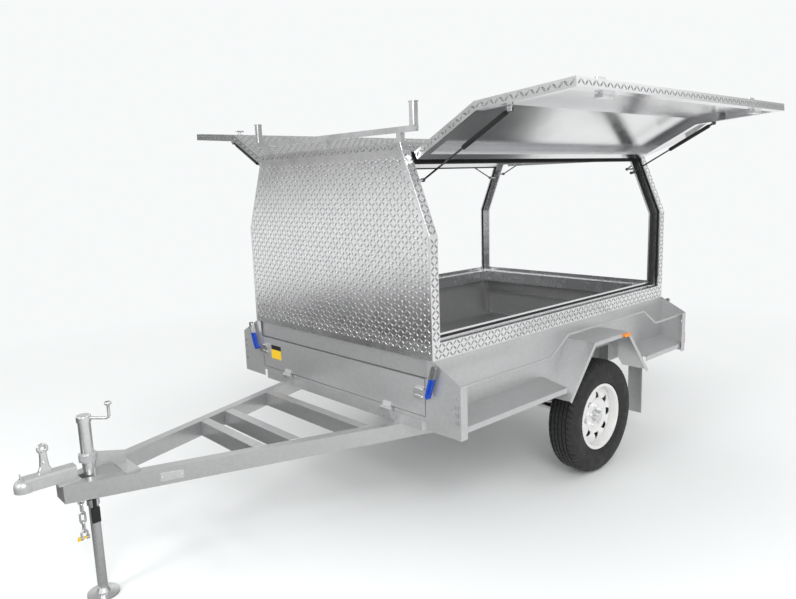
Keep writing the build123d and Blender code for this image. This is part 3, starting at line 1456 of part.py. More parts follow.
# Roof racks: a crossbar on three feet with an upright at each end
rack_bar = 25.0
rack_bar_bottom = roof_height + 48
rack_half = roof_half + 77
rack_upright_half = rack_half - 16
rack_upright_top = rack_bar_bottom + 124
rack_post = 30.0
rack_cap = 5.0
rack_setback = 30.0
rack_foot_half = roof_half - 27
roof_skin_top = roof_height + sheet
for name, rack_x in (("front", front - rack_setback), ("rear", rear + rack_setback)):
    with BuildPart() as rack:
        with BuildSketch(Plane.XY.offset(rack_bar_bottom)):
            with Locations((rack_x, 0)):
                Rectangle(rack_bar, 2 * rack_half)
        extrude(amount=rack_bar)
        with BuildSketch(Plane.XY.offset(roof_skin_top)):
            for foot in (rack_foot_half, 0, -rack_foot_half):
                with Locations((rack_x, foot)):
                    Rectangle(rack_bar, 30)
        extrude(amount=rack_bar_bottom - roof_skin_top)
        with BuildSketch(Plane.XY.offset(roof_skin_top)):
            for foot in (rack_foot_half, 0, -rack_foot_half):
                with Locations((rack_x, foot)):
                    Rectangle(rack_bar + 24, 60)
        extrude(amount=4)
        with BuildSketch(Plane.XY.offset(rack_bar_bottom + rack_bar)):
            for end in (rack_upright_half, -rack_upright_half):
                with Locations((rack_x, end)):
                    RectangleRounded(rack_post, rack_post, rack_cap)
        extrude(amount=rack_upright_top - rack_bar_bottom - rack_bar)
        with BuildSketch(Plane.XY.offset(rack_upright_top)):
            for end in (rack_upright_half, -rack_upright_half):
                with Locations((rack_x, end)):
                    RectangleRounded(rack_post + rack_cap, rack_post + rack_cap, rack_cap)
        extrude(amount=rack_cap)
    rack.part.label = "roof_rack_" + name
    export_step(rack.part, "parts/roof_rack_" + name + ".step")

# Mud flaps behind the wheels, under the ledge
flap_trail = 475.0
flap_setback = axle_setback + flap_trail
flap_bottom = 222.0
flap_inner = half + 6
flap_outer = half + 96
ledge_slope = (ledge_inner_height - ledge_outer_height) / (half + ledge_reach - ledge_root)
ledge_skin = sheet * sqrt(1 + ledge_slope ** 2)
with BuildPart() as mud_flaps:
    for side in (1, -1):
        top_inner = ledge_inner_height - ledge_skin - ledge_slope * (flap_inner - ledge_root)
        top_outer = ledge_inner_height - ledge_skin - ledge_slope * (flap_outer - ledge_root)
        with BuildSketch(Plane.YZ.offset(front - flap_setback)):
            outline([
                (side * flap_inner, flap_bottom),
                (side * flap_outer, flap_bottom),
                (side * flap_outer, top_outer),
                (side * flap_inner, top_inner),
            ])
        extrude(amount=-2 * sheet)
mud_flaps.part.label = "mud_flaps"
export_step(mud_flaps.part, "parts/mud_flaps.step")

# Side markers on the guards' outer edges and lamps on the rear corner plates
guard_outer = half + guard_reach
marker_length = 62.0
marker_height = 20.0
marker_depth = 14.0
with BuildPart() as side_markers:
    for side in (1, -1):
        with BuildSketch(Plane.XZ.offset(-side * guard_outer)):
            with Locations((axle_x - guard_half_top + 40, guard_top - 12)):
                SlotOverall(marker_length, marker_height)
        extrude(amount=-side * marker_depth)
side_markers.part.label = "side_markers"
export_step(side_markers.part, "parts/side_markers.step")

lamp_bottom = 590.0
lamp_height = 80.0
lamp_inner = half + 4
lamp_outer = plate_outer - 10
with BuildPart() as rear_lamps:
    for side in (1, -1):
        with BuildSketch(Plane.YZ.offset(rear)):
            with Locations((side * (lamp_inner + lamp_outer) / 2, lamp_bottom + lamp_height / 2)):
                RectangleRounded(lamp_outer - lamp_inner, lamp_height, 8)
        extrude(amount=-26)
rear_lamps.part.label = "rear_lamps"
export_step(rear_lamps.part, "parts/rear_lamps.step")
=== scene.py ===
# %% [markdown]
# # A tradesman trailer in galvanised steel and tread plate
# The real trailer is folded sheet and tube, dipped in zinc, with a canopy of raised tread plate.
# The rigid model already has every sheet, tube and hinge at its real size, so this lesson adds what
# makes it look real: finishes, the raised treads, tyre tread, wheel faces, seals, plates and welds.

# %% Frame and tools
import json

import bpy
import numpy as np
from mathutils import Matrix, Vector


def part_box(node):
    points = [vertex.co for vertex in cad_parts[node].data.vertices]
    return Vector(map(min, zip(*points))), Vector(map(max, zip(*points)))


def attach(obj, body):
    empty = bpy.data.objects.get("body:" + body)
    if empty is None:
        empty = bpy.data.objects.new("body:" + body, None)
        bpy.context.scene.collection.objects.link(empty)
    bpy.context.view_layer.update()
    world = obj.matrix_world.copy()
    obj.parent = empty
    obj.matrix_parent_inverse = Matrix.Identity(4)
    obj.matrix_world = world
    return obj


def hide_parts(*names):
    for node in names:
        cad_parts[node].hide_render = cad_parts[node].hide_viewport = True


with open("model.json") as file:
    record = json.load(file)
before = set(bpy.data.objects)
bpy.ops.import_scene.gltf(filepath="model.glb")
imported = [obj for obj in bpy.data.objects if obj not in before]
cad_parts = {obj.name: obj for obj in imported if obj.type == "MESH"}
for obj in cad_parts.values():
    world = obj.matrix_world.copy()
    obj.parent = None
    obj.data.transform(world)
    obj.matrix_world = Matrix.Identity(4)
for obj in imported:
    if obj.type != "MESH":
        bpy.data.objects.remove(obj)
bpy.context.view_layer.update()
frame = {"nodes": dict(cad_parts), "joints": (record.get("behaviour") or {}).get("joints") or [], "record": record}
NODES = frame["nodes"]
JOINTS = {joint["name"]: joint for joint in frame["joints"]}
ROOT = "trailer"
FRONT_X = float(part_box("canopy_front")[1][0])
REAR_X = float(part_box("corner_plates_rear")[0][0])
print("tub front and rear at", round(FRONT_X, 4), round(REAR_X, 4))

# %% [markdown]
# ## The camera
# The photograph was taken from the front left, a little above the tub. The lens and place were
# worked out from the tub's straight edges and the wheel, so the render can be laid over it.

# %% Camera
LENS_PIXELS = 686.56
FRAME_WIDTH = 796
CAMERA_FROM_TUB = np.array([2.11467, 2.85007, 1.68876])
HEADING, PITCH, ROLL = -2.30951, -0.17133, -0.03390


def camera_axes(heading, pitch, roll):
    """View direction from heading and pitch, then right and up turned about it by the roll."""
    ahead = np.array([
        np.cos(pitch) * np.cos(heading),
        np.cos(pitch) * np.sin(heading),
        np.sin(pitch),
    ])
    right = np.cross(ahead, [0, 0, 1])
    right /= np.linalg.norm(right)
    up = np.cross(right, ahead)
    rolled_right = right * np.cos(roll) + up * np.sin(roll)
    rolled_up = up * np.cos(roll) - right * np.sin(roll)
    return rolled_right, rolled_up, ahead


camera_data = bpy.data.cameras.new("camera")
camera_data.sensor_width = 36.0
camera_data.sensor_fit = "HORIZONTAL"
camera_data.lens = LENS_PIXELS * camera_data.sensor_width / FRAME_WIDTH
camera_data.clip_end = 60
camera = bpy.data.objects.new("camera", camera_data)
bpy.context.scene.collection.objects.link(camera)
side, top, ahead = camera_axes(HEADING, PITCH, ROLL)
place = CAMERA_FROM_TUB + [FRONT_X, 0, 0]
camera.matrix_world = Matrix([
    [side[0], top[0], -ahead[0], place[0]],
    [side[1], top[1], -ahead[1], place[1]],
    [side[2], top[2], -ahead[2], place[2]],
    [0, 0, 0, 1],
])
bpy.context.scene.camera = camera
print("lens", round(camera_data.lens, 2), "mm at", np.round(place, 3))

# %% [markdown]
# ## A mesh from arrays
# Every new piece is worked out as an array of points and a list of faces. It could be edited by
# hand with bmesh, but from_pydata takes the arrays as they are. Each piece then rides on a body of
# the rigid model, so it follows the body when a door, a gate or a wheel moves.


# %% A piece that rides on a body
def mesh_piece(name, points, faces, material, body, smooth=True, slot=None):
    """A mesh object from points and faces, riding on a body."""
    mesh = bpy.data.meshes.new(name)
    face_lists = [list(map(int, face)) for face in faces]
    mesh.from_pydata(np.asarray(points, float).tolist(), [], face_lists)
    mesh.validate()
    mesh.polygons.foreach_set("use_smooth", [smooth] * len(mesh.polygons))
    piece = bpy.data.objects.new(name, mesh)
    bpy.context.scene.collection.objects.link(piece)
    piece.data.materials.append(material)
    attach(piece, body)
    return piece


# %% [markdown]
# ## Finishes as small node trees
# A finish is a shader with a pattern for its colour, one for its gloss and one for its bumps. All
# of them read object coordinates, so the pattern stays on the metal when a door swings. The same
# five or six nodes come back in every finish, so a short class holds the calls for them.


# %% Calls that all the finishes share
class Finish:
    """A material with short calls for the nodes that these finishes share."""

    def __init__(self, name, colour, metallic, roughness):
        self.material = bpy.data.materials.new(name)
        self.material.use_nodes = True
        self.tree = self.material.node_tree
        self.shader = self.tree.nodes["Principled BSDF"]
        self.shader.inputs["Base Color"].default_value = (*colour, 1)
        self.shader.inputs["Metallic"].default_value = metallic
        self.shader.inputs["Roughness"].default_value = roughness
        self.coordinates = self.tree.nodes.new("ShaderNodeTexCoord")

    def node(self, kind, **values):
        """A node of a kind with its named inputs set."""
        made = self.tree.nodes.new(kind)
        for key, value in values.items():
            made.inputs[key.replace("_", " ")].default_value = value
        return made

    def link(self, source, target):
        self.tree.links.new(source, target)

    def pattern(self, kind, scale, **values):
        """A noise or cell texture in object space."""
        made = self.node(kind, Scale=scale, **values)
        self.link(self.coordinates.outputs["Object"], made.inputs["Vector"])
        return made

    def ramp(self, source, stops):
        """A colour ramp over a value, from (place, grey or colour) stops."""
        made = self.tree.nodes.new("ShaderNodeValToRGB")
        elements = made.color_ramp.elements
        while len(elements) < len(stops):
            elements.new(0.5)
        for element, (position, colour) in zip(elements, stops):
            element.position = position
            shade = (colour,) * 3 if isinstance(colour, (int, float)) else colour
            element.color = (*shade, 1)
        self.link(source, made.inputs["Fac"])
        return made.outputs["Color"]

    def bump(self, height, strength, distance):
        """A bump from a height pattern, on the shader's normal."""
        made = self.node("ShaderNodeBump", Strength=strength, Distance=distance)
        self.link(height, made.inputs["Height"])
        self.link(made.outputs["Normal"], self.shader.inputs["Normal"])


print("finish calls:", [call for call in vars(Finish) if not call.startswith("_")])

# %% [markdown]
# ## Hot-dip zinc
# Zinc freezes on the steel in flat crystals, each a little brighter or darker than the next. A
# cell pattern gives the crystals and a cloud pattern the slower unevenness. Real zinc is a metal
# under a thin dull skin, so the shader is only part metallic: fully metallic zinc would mirror the
# room like chrome. New bright fittings, the drawbar and the worn floor differ by three numbers; the
# drawbar's darker zinc is painted shade.

# %% Zinc finishes
CRYSTAL_SCALE = 70
CLOUD_SCALE = 4
RIPPLE_SCALE = 9


def zinc(name, bright, rough, metallic=0.55):
    """Hot-dip zinc: crystals of uneven brightness, faint clouds and a soft sheen."""
    finish = Finish(name, (bright,) * 3, metallic, rough)
    cells = finish.pattern("ShaderNodeTexVoronoi", CRYSTAL_SCALE)
    clouds = finish.pattern("ShaderNodeTexNoise", CLOUD_SCALE, Detail=4)
    mix = finish.tree.nodes.new("ShaderNodeMix")
    mix.data_type = "FLOAT"
    mix.inputs["Factor"].default_value = 0.55
    finish.link(cells.outputs["Color"], mix.inputs["A"])
    finish.link(clouds.outputs["Fac"], mix.inputs["B"])
    tint = finish.ramp(mix.outputs["Result"], [
        (0.25, (bright * 0.94, bright * 0.945, bright * 0.955)),
        (0.75, (bright * 1.04, bright * 1.045, bright * 1.05)),
    ])
    finish.link(tint, finish.shader.inputs["Base Color"])
    gloss = finish.ramp(cells.outputs["Color"], [(0.0, rough * 0.96), (1.0, rough * 1.04)])
    finish.link(gloss, finish.shader.inputs["Roughness"])
    ripples = finish.pattern("ShaderNodeTexNoise", RIPPLE_SCALE, Detail=3)
    finish.bump(ripples.outputs["Fac"], 0.15, 0.004)
    return finish.material


GALVANISED = zinc("galvanised", 0.55, 0.32, 0.6)
GALVANISED_DULL = zinc("galvanised_dull", 0.44, 0.42)
# Darker zinc for the drawbar is painted shade.
RAIL_ZINC_PAINTED_SHADE = zinc("galvanised_rail_painted_shade", 0.50, 0.30, 0.75)
BRIGHT_ZINC = zinc("bright_zinc", 0.72, 0.22, 0.9)
print("zinc:", [m.name for m in (GALVANISED, GALVANISED_DULL, RAIL_ZINC_PAINTED_SHADE, BRIGHT_ZINC)])

# %% [markdown]
# ## Bare aluminium
# Tread plate is rolled and left bare. It is a clean metal, so it is fully metallic and takes its
# light and dark from what it mirrors. A slow wave in the sheet bends those reflections as a real
# plate does. The raised bars are darker than the flats here, as painted shade for the shade and dark
# reflections on their slopes, and on the front panel only a little darker, where they show faintly.

# %% Aluminium finishes
SMEAR_SCALE = 14
WAVE_SCALE = 2.2


def bare_aluminium(name, bright, rough, waves=0.10):
    """Mill-finish aluminium: bright, with faint rolling marks and a slow wave in the sheet."""
    finish = Finish(name, (bright, bright * 1.005, bright * 1.015), 1.0, rough)
    smears = finish.pattern("ShaderNodeTexNoise", SMEAR_SCALE, Detail=5)
    gloss = finish.ramp(smears.outputs["Fac"], [(0.3, rough * 0.9), (0.7, rough * 1.15)])
    finish.link(gloss, finish.shader.inputs["Roughness"])
    swell = finish.pattern("ShaderNodeTexNoise", WAVE_SCALE, Detail=1)
    finish.bump(swell.outputs["Fac"], waves, 0.03)
    return finish.material


TREAD_PLATE = bare_aluminium("tread_plate", 0.86, 0.20)
# The bars' darker colour is painted shade.
TREAD_BARS_PAINTED_SHADE = bare_aluminium("tread_bars_painted_shade", 0.42, 0.14, 0.0)
PANEL_BARS_PAINTED_SHADE = bare_aluminium("panel_bars_painted_shade", 0.72, 0.16, 0.0)
TRIM = bare_aluminium("trim", 0.84, 0.26, 0.05)
print("aluminium:", [m.name for m in (TREAD_PLATE, TREAD_BARS_PAINTED_SHADE, PANEL_BARS_PAINTED_SHADE, TRIM)])

# %% [markdown]
# ## Paint, rubber, plastic and polished steel
# The small parts have even colours: black rubber, satin black, lamp lenses, polished struts and
# nuts. A flat colour would look like a drawing, so each has an uneven gloss, and rubber has a fine
# grain as well.

# %% Plain finishes
GLOSS_SCALE = 25


def plain(name, colour, rough, metallic=0.0, grain=0.0, scale=300):
    """Paint, plastic or rubber, with a fine grain and slightly uneven gloss."""
    finish = Finish(name, colour, metallic, rough)
    smears = finish.pattern("ShaderNodeTexNoise", GLOSS_SCALE, Detail=3)
    stops = [(0.3, rough * 0.85), (0.7, min(rough * 1.2, 1.0))]
    finish.link(finish.ramp(smears.outputs["Fac"], stops), finish.shader.inputs["Roughness"])
    if grain:
        specks = finish.pattern("ShaderNodeTexNoise", scale, Detail=2)
        finish.bump(specks.outputs["Fac"], grain, 0.001)
    return finish.material


DARK_STEEL = plain("dark_steel", (0.03, 0.03, 0.032), 0.5, 0.3, 0.2)
RUBBER = plain("black_rubber", (0.012, 0.012, 0.012), 0.6, 0.0, 0.2)
TYRE = plain("tyre", (0.018, 0.018, 0.019), 0.72, 0.0, 0.35, 180)
BLACK = plain("satin_black", (0.012, 0.012, 0.013), 0.35)
CHROME = plain("polished_steel", (0.80, 0.80, 0.82), 0.12, 1.0)
ROD = plain("strut_rod", (0.16, 0.16, 0.17), 0.2, 1.0)
AMBER = plain("amber_lens", (0.95, 0.28, 0.01), 0.18)
RED = plain("red_lens", (0.45, 0.008, 0.008), 0.18)
YELLOW = plain("yellow_paint", (0.85, 0.55, 0.01), 0.35)
print("materials so far:", len(bpy.data.materials))

# %% [markdown]
# ## Two finishes on one piece
# The wheel is white on its face, with painted shade inside it where little light gets in. The latch
# lever is bare steel with its lower end dipped in blue plastic. Each could be cut in two pieces. It
# is simpler to switch the colour at a place along one axis, because both borders are flat.

# %% Wheel enamel and dipped levers
BORDER = 0.001


def beyond(finish, source, place):
    """0 before a place and 1 beyond it, with a border of a millimetre each way."""
    step = finish.tree.nodes.new("ShaderNodeMapRange")
    step.inputs["From Min"].default_value = place - BORDER
    step.inputs["From Max"].default_value = place + BORDER
    finish.link(source, step.inputs["Value"])
    return step.outputs["Result"]


def axes_of(finish):
    """Object coordinates as three separate values."""
    split = finish.tree.nodes.new("ShaderNodeSeparateXYZ")
    finish.link(finish.coordinates.outputs["Object"], split.inputs["Vector"])
    return split.outputs


def enamel_with_painted_shade(name, colour, rough, disc_inner):
    """White enamel outside the disc's inner face, near black behind it as painted shade, by distance across."""
    finish = Finish(name, colour, 0.0, rough)
    across = finish.tree.nodes.new("ShaderNodeMath")
    across.operation = "ABSOLUTE"
    finish.link(axes_of(finish)["Y"], across.inputs[0])
    outside = beyond(finish, across.outputs["Value"], disc_inner)
    # Near black behind the disc's inner face is painted shade inside the wheel.
    shade = finish.ramp(outside, [(0.0, 0.025), (1.0, colour)])
    finish.link(shade, finish.shader.inputs["Base Color"])
    return finish.material


def dipped_grip(name, colour, rough, grip_top):
    """Coloured dip on the lower end of a lever, bare steel above a height."""
    finish = Finish(name, colour, 0.0, rough)
    above = beyond(finish, axes_of(finish)["Z"], grip_top)
    shade = finish.ramp(above, [(0.0, colour), (1.0, 0.42)])
    finish.link(shade, finish.shader.inputs["Base Color"])
    finish.link(above, finish.shader.inputs["Metallic"])
    return finish.material


DISC_INNER = 0.799
GRIP_LENGTH = 0.098
GRIP_TOP = float(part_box("gate_grips_front")[0][2]) + GRIP_LENGTH
WHITE = enamel_with_painted_shade("white_enamel_painted_shade", (0.80, 0.80, 0.79), 0.22, DISC_INNER)
BLUE = dipped_grip("blue_grip", (0.003, 0.055, 0.42), 0.33, GRIP_TOP)
print("grips are blue up to", round(GRIP_TOP, 3))

# %% [markdown]
# ## Dressing the rigid model
# Each node of the rigid model names a material slot, so one table gives most of them a finish. The
# floor, the headers and the mud flaps are duller on the real trailer. The drawbar gets a darker,
# smoother zinc, whose darkness is painted shade for the shade on its sides, so these few are picked
# out by name.

# %% Finishes on the rigid model
FINISHES = {
    "tread_plate": TREAD_PLATE,
    "galvanised_steel": GALVANISED,
    "zinc_steel": BRIGHT_ZINC,
    "dark_steel": DARK_STEEL,
    "aluminium_trim": TRIM,
    "black_plastic": BLACK,
    "black_rubber": RUBBER,
    "tyre_rubber": TYRE,
    "white_paint": WHITE,
    "blue_plastic": BLUE,
    "black_paint": BLACK,
    "chrome_rod": ROD,
    "amber_lens": AMBER,
    "red_lens": RED,
    "yellow_paint": YELLOW,
}
NODE_SLOTS = {part["node"]: part["material_slot"] for part in frame["record"]["subparts"]}
SPECIAL = {node: GALVANISED_DULL for node in ("tub_floor", "tub_headers", "mud_flaps")}
SPECIAL["drawbar"] = RAIL_ZINC_PAINTED_SHADE
for name, node in NODES.items():
    node.data.materials.clear()
    node.data.materials.append(SPECIAL.get(name, FINISHES[NODE_SLOTS[name]]))
print("dressed", len(NODES), "nodes")

# %% [markdown]
# ## Tread plate: one bar
# The plate has raised lens-shaped bars, each at right angles to its neighbours. They are real
# bumps of metal, so they are modelled and not painted: a bump on the shader alone would give no
# edge to catch the light. There are thousands of them, so one bar has only a few faces.

# %% Tread layout
TREAD_PITCH = 0.0245
LENS_HALF_LENGTH = 0.0150
LENS_HALF_WIDTH = 0.0042
LENS_HEIGHT = 0.0019
LENS_SHOULDER = 0.0078
lens_points = np.array([
    [-LENS_HALF_LENGTH, 0, 0],
    [LENS_HALF_LENGTH, 0, 0],
    [-LENS_SHOULDER, -LENS_HALF_WIDTH, 0],
    [LENS_SHOULDER, -LENS_HALF_WIDTH, 0],
    [LENS_SHOULDER, LENS_HALF_WIDTH, 0],
    [-LENS_SHOULDER, LENS_HALF_WIDTH, 0],
    [-LENS_SHOULDER, 0, LENS_HEIGHT],
    [LENS_SHOULDER, 0, LENS_HEIGHT],
])
lens_faces = [
    (2, 3, 7, 6), (4, 5, 6, 7), (0, 2, 6), (0, 6, 5), (1, 7, 3), (1, 4, 7), (0, 5, 4, 1, 3, 2),
]
print("one bar has", len(lens_faces), "faces")

# %% [markdown]
# ## Stamping a shape at many places
# One small shape goes to many places with its own directions at each. Instances would do, but the
# copies are joined in one mesh here, because a piece is one object on one body.


# %% Stamps
def stamped(shape_points, shape_faces, centres, along, normals):
    """One small shape copied to each centre: x runs along, z along the normal, y across them."""
    across = np.cross(normals, along)
    axes = np.stack([along, across, normals], 1)
    points = centres[:, None, :] + np.einsum("pk,nkd->npd", shape_points, axes)
    count = len(shape_points)
    faces = []
    for face in shape_faces:
        shifted = np.array(face)[None, :] + np.arange(len(centres))[:, None] * count
        faces.extend(shifted.tolist())
    return points.reshape(-1, 3), faces


def joined(parts):
    """Several (points, faces) pairs as one."""
    points, faces, count = [], [], 0
    for part_points, part_faces in parts:
        points.append(np.asarray(part_points, float))
        faces.extend([[int(index) + count for index in face] for face in part_faces])
        count += len(part_points)
    return np.concatenate(points), faces


upward, lengthways = np.array([[0, 0, 1.0]]), np.array([[1.0, 0, 0]])
one_bar = stamped(lens_points, lens_faces, np.zeros((1, 3)), lengthways, upward)
print("one stamp:", len(one_bar[0]), "points and", len(one_bar[1]), "faces")

# %% [markdown]
# ## Laying bars on a flat
# The canopy is made of flats: the front panel, the roof, the leaning and the upright sides. Each
# flat is an outline in its own two directions. Bars lie on a square grid inside the outline, and
# every second one turns by a right angle. A raised door's bars are laid as on the shut door, and
# then turned up about the hinge with it.

# %% Bars on flats
TREAD_SINK = 0.0001


def flat(origin, across, up, corners):
    """A flat of tread plate: its origin, two unit directions and its convex outline in them."""
    return tuple(np.asarray(value, float) for value in (origin, across, up, corners))


def tread_centres(corners, margin):
    """Centres on a square grid inside a convex outline by a margin, and which way each turns."""
    low, high = corners.min(0), corners.max(0)
    counts = np.ceil((high - low) / TREAD_PITCH).astype(int) + 1
    i, j = np.meshgrid(np.arange(counts[0]), np.arange(counts[1]), indexing="ij")
    middle = (low + high) / 2
    offsets = np.stack([i, j], -1).reshape(-1, 2) - (counts - 1) / 2
    centres = middle + offsets * TREAD_PITCH
    odd = ((i + j) % 2).reshape(-1)
    following = np.roll(corners, -1, 0)
    edges = following - corners
    area = np.sum(corners[:, 0] * following[:, 1] - following[:, 0] * corners[:, 1])
    inward = np.stack([-edges[:, 1], edges[:, 0]], 1) * np.sign(area)
    inward /= np.linalg.norm(inward, axis=1)[:, None]
    reach = np.einsum("pkd,kd->pk", centres[:, None] - corners[None], inward)
    inside = (reach > margin).all(1)
    return centres[inside], odd[inside]


def turned(points, pivot, axis, degrees):
    """Points turned about an axis through a pivot, by the right-hand rule."""
    spin = np.array(Matrix.Rotation(np.radians(degrees), 3, axis))
    return (np.asarray(points) - pivot) @ spin.T + pivot


def treads(name, flats, body, margin=0.0105, turn=None, finish=TREAD_BARS_PAINTED_SHADE):
    """Lens bars on several flats, joined, and turned up with a door: (pivot, axis, degrees)."""
    parts = []
    for origin, across, up, corners in flats:
        centres, odd = tread_centres(corners, margin)
        if not len(centres):
            continue
        normal = np.cross(across, up)
        places = origin + centres[:, :1] * across + centres[:, 1:] * up + normal * -TREAD_SINK
        sign = np.where(odd, 1.0, -1.0)[:, None]
        along = (across + sign * up) / np.sqrt(2)
        normals = np.broadcast_to(normal, places.shape)
        parts.append(stamped(lens_points, lens_faces, places, along, normals))
    points, faces = joined(parts)
    if turn:
        points = turned(points, *turn)
    piece = mesh_piece(name, points, faces, finish, body, smooth=True, slot="tread_plate")
    print(name, "has", len(faces) // len(lens_faces), "bars")
    return piece


example = tread_centres(np.array([(0, 0), (0.5, 0), (0.5, 0.5), (0, 0.5)]), TREAD_PITCH / 2)
print("half a metre square holds", len(example[0]), "bars")

# %% [markdown]
# ## The canopy's section
# Seen from the front, each side of the canopy stands upright, bends in and leans up to the roof.
# Panel, posts, doors and seals all follow this one section, so its sizes are named once here, as
# they are on the rigid model, and everything below is worked out from them.

# %% Canopy section, as on the rigid model
HALF = float(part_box("canopy_front")[1][1])
ROOF_Z = float(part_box("canopy_front")[1][2])
SILL_LOW = float(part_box("canopy_frame")[0][2])
SILL_TOP = float(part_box("canopy_front")[0][2])
BEND_Z = 1.443
ROOF_HALF = 0.575
SHEET = 0.003
POST = 0.050
DOOR_DEPTH = 0.038
DOOR_GAP = 0.005
HINGE_DROP = 0.040
ROOF_FOLD = 0.035
SLOPE = np.array([HALF - ROOF_HALF, BEND_Z - ROOF_Z])
SLOPE_LENGTH = float(np.hypot(*SLOPE))
SLOPE /= SLOPE_LENGTH
LENGTH = FRONT_X - REAR_X
DOOR_LENGTH = LENGTH - 2 * POST - 2 * DOOR_GAP
door_front = FRONT_X - POST - DOOR_GAP
door_rear = door_front - DOOR_LENGTH
door_low = SILL_TOP + DOOR_GAP
print("the lean is", round(SLOPE_LENGTH, 3), "m long")

# %% [markdown]
# ## Flats of a canopy side and of a door's end
# A side has two flats that meet at the bend, one leaning and one upright. The end face of a door
# is a narrow band along the same section, mitred at the bend. Both are given as outlines, so the
# same function lays their bars.


# %% Flats along the sides
def oblong(run, height):
    """Corners of a rectangle from its lower corner."""
    return [(0, 0), (run, 0), (run, height), (0, height)]


def side_flats(front, rear, drop, bottom, sign):
    """The leaning and the upright flat of a canopy side, between two stations along it."""
    run = front - rear
    across = (-sign, 0, 0)
    lean_up = np.array([0, sign * -SLOPE[0], -SLOPE[1]])
    lean = SLOPE_LENGTH - drop
    base_x = front if sign > 0 else rear
    lean_origin = (base_x, sign * HALF, BEND_Z)
    upright_origin = (base_x, sign * HALF, bottom)
    return [
        flat(lean_origin, across, lean_up, oblong(run, lean)),
        flat(upright_origin, across, (0, 0, 1), oblong(run, BEND_Z - bottom)),
    ]


def end_flats(end_x, facing, sign):
    """The two flats of a door's end face, which looks forward (1) or back (-1)."""
    out = np.array([-SLOPE[1], SLOPE[0]])
    lean_top = np.array([ROOF_HALF, ROOF_Z]) + SLOPE * (HINGE_DROP + DOOR_GAP)
    bend = np.array([HALF, BEND_Z])
    mitre = bend - [DOOR_DEPTH, DOOR_DEPTH * np.tan(np.arctan2(SLOPE[0], -SLOPE[1]) / 2)]
    made = []
    for corners in (
        [lean_top - out * DOOR_DEPTH, mitre, bend, lean_top],
        [(HALF - DOOR_DEPTH, door_low), (HALF, door_low), bend, mitre],
    ):
        corners = np.array(corners, float)
        middle = corners.mean(0)
        long_way = SLOPE if corners[0][1] > BEND_Z - 0.001 else np.array([0, -1.0])
        across2 = np.array([-long_way[1], long_way[0]])
        across = np.array([0, across2[0] * sign, across2[1]])
        up = np.array([0, long_way[0] * sign, long_way[1]])
        if np.cross(across, up)[0] * facing < 0:
            across, flip = -across, -1
        else:
            flip = 1
        local = np.stack([(corners - middle) @ across2 * flip, (corners - middle) @ long_way], 1)
        origin = (end_x, middle[0] * sign, middle[1])
        made.append(flat(origin, across, up, local))
    return made


print("a side has", len(side_flats(FRONT_X, REAR_X, 0, SILL_TOP, 1)), "flats")

# %% [markdown]
# ## Sections drawn along the tub
# Seals, trims and lips are thin bands that follow the canopy's section. A path moved sideways by
# its own mitred normals gives both edges of a band, and the closed outline is drawn out along the
# tub like a pressed strip. A curve with a bevel would round the corners, which are sharp here.


# %% Bands beside the section
def shifted(path, distance):
    """A path of points moved to its left, with mitred corners."""
    path = np.asarray(path, float)
    steps = np.diff(path, axis=0)
    steps /= np.linalg.norm(steps, axis=1)[:, None]
    before = np.vstack([steps[:1], steps])
    after = np.vstack([steps, steps[-1:]])
    left = np.stack([-(before + after)[:, 1], (before + after)[:, 0]], 1)
    left /= np.linalg.norm(left, axis=1)[:, None]
    cosine = np.sum(left * np.stack([-before[:, 1], before[:, 0]], 1), 1)
    return path + left * (distance / cosine)[:, None]


def drawn(outline, start, end, side):
    """A closed outline in y and z, mirrored by side, drawn along x between two places."""
    outline = np.asarray(outline, float)
    count = len(outline)
    low = np.column_stack([np.full(count, start), outline[:, 0] * side, outline[:, 1]])
    high = low + [end - start, 0, 0]
    ends = [(i, i + 1, count - 2 - i, count - 1 - i) for i in range(count // 2 - 1)]
    faces = [quad[::-1] for quad in ends] + [tuple(q + count for q in quad) for quad in ends]
    faces += [(i, (i + 1) % count, (i + 1) % count + count, i + count) for i in range(count)]
    following = np.roll(outline, -1, 0)
    area = np.sum(outline[:, 0] * following[:, 1] - following[:, 0] * outline[:, 1]) * side
    if area * (end - start) < 0:
        faces = [face[::-1] for face in faces]
    return np.concatenate([low, high]), faces


def band(path, near, far):
    """Closed outline between two depths to the right of a path."""
    return np.concatenate([shifted(path, -near), shifted(path, -far)[::-1]])


def side_path(drop, low):
    """Side of the canopy from a distance down its lean to a height."""
    lean_top = np.array([ROOF_HALF, ROOF_Z]) + SLOPE * drop
    return np.array([lean_top, (HALF, BEND_Z), (HALF, low)])


print("a side path bends at", np.round(side_path(0.0, SILL_TOP)[1], 3))

# %% [markdown]
# ## Treads on the front panel and the roof
# The front panel is one sheet of tread plate with the canopy's full section as its outline, and
# the roof sheet folds down over it in a narrow lip. The lip is a thin band of its own, laid on the
# panel, so that the panel's bars stop below it as they do under the real fold.

# %% Front panel, lip and roof
SINK = 0.0002
FOLD_Z = ROOF_Z - ROOF_FOLD
FOLD_HALF = ROOF_HALF + ROOF_FOLD * (HALF - ROOF_HALF) / (ROOF_Z - BEND_Z)
LIP_THICK = 0.002
LEAN_OUT = np.array([-SLOPE[1], SLOPE[0]])
right_side = [(-FOLD_HALF, FOLD_Z), (-HALF, BEND_Z), (-HALF, SILL_LOW)]
section = [(HALF, SILL_LOW), (HALF, BEND_Z), (FOLD_HALF, FOLD_Z)] + right_side
front_flat = flat((FRONT_X, 0, 0), (0, 1, 0), (0, 0, 1), section)
treads("front_treads", [front_flat], ROOT, margin=0.016, finish=PANEL_BARS_PAINTED_SHADE)
lip_low = [(-FOLD_HALF, FOLD_Z), (FOLD_HALF, FOLD_Z)]
lip_high = [(ROOF_HALF, ROOF_Z + SHEET), (-ROOF_HALF, ROOF_Z + SHEET)]
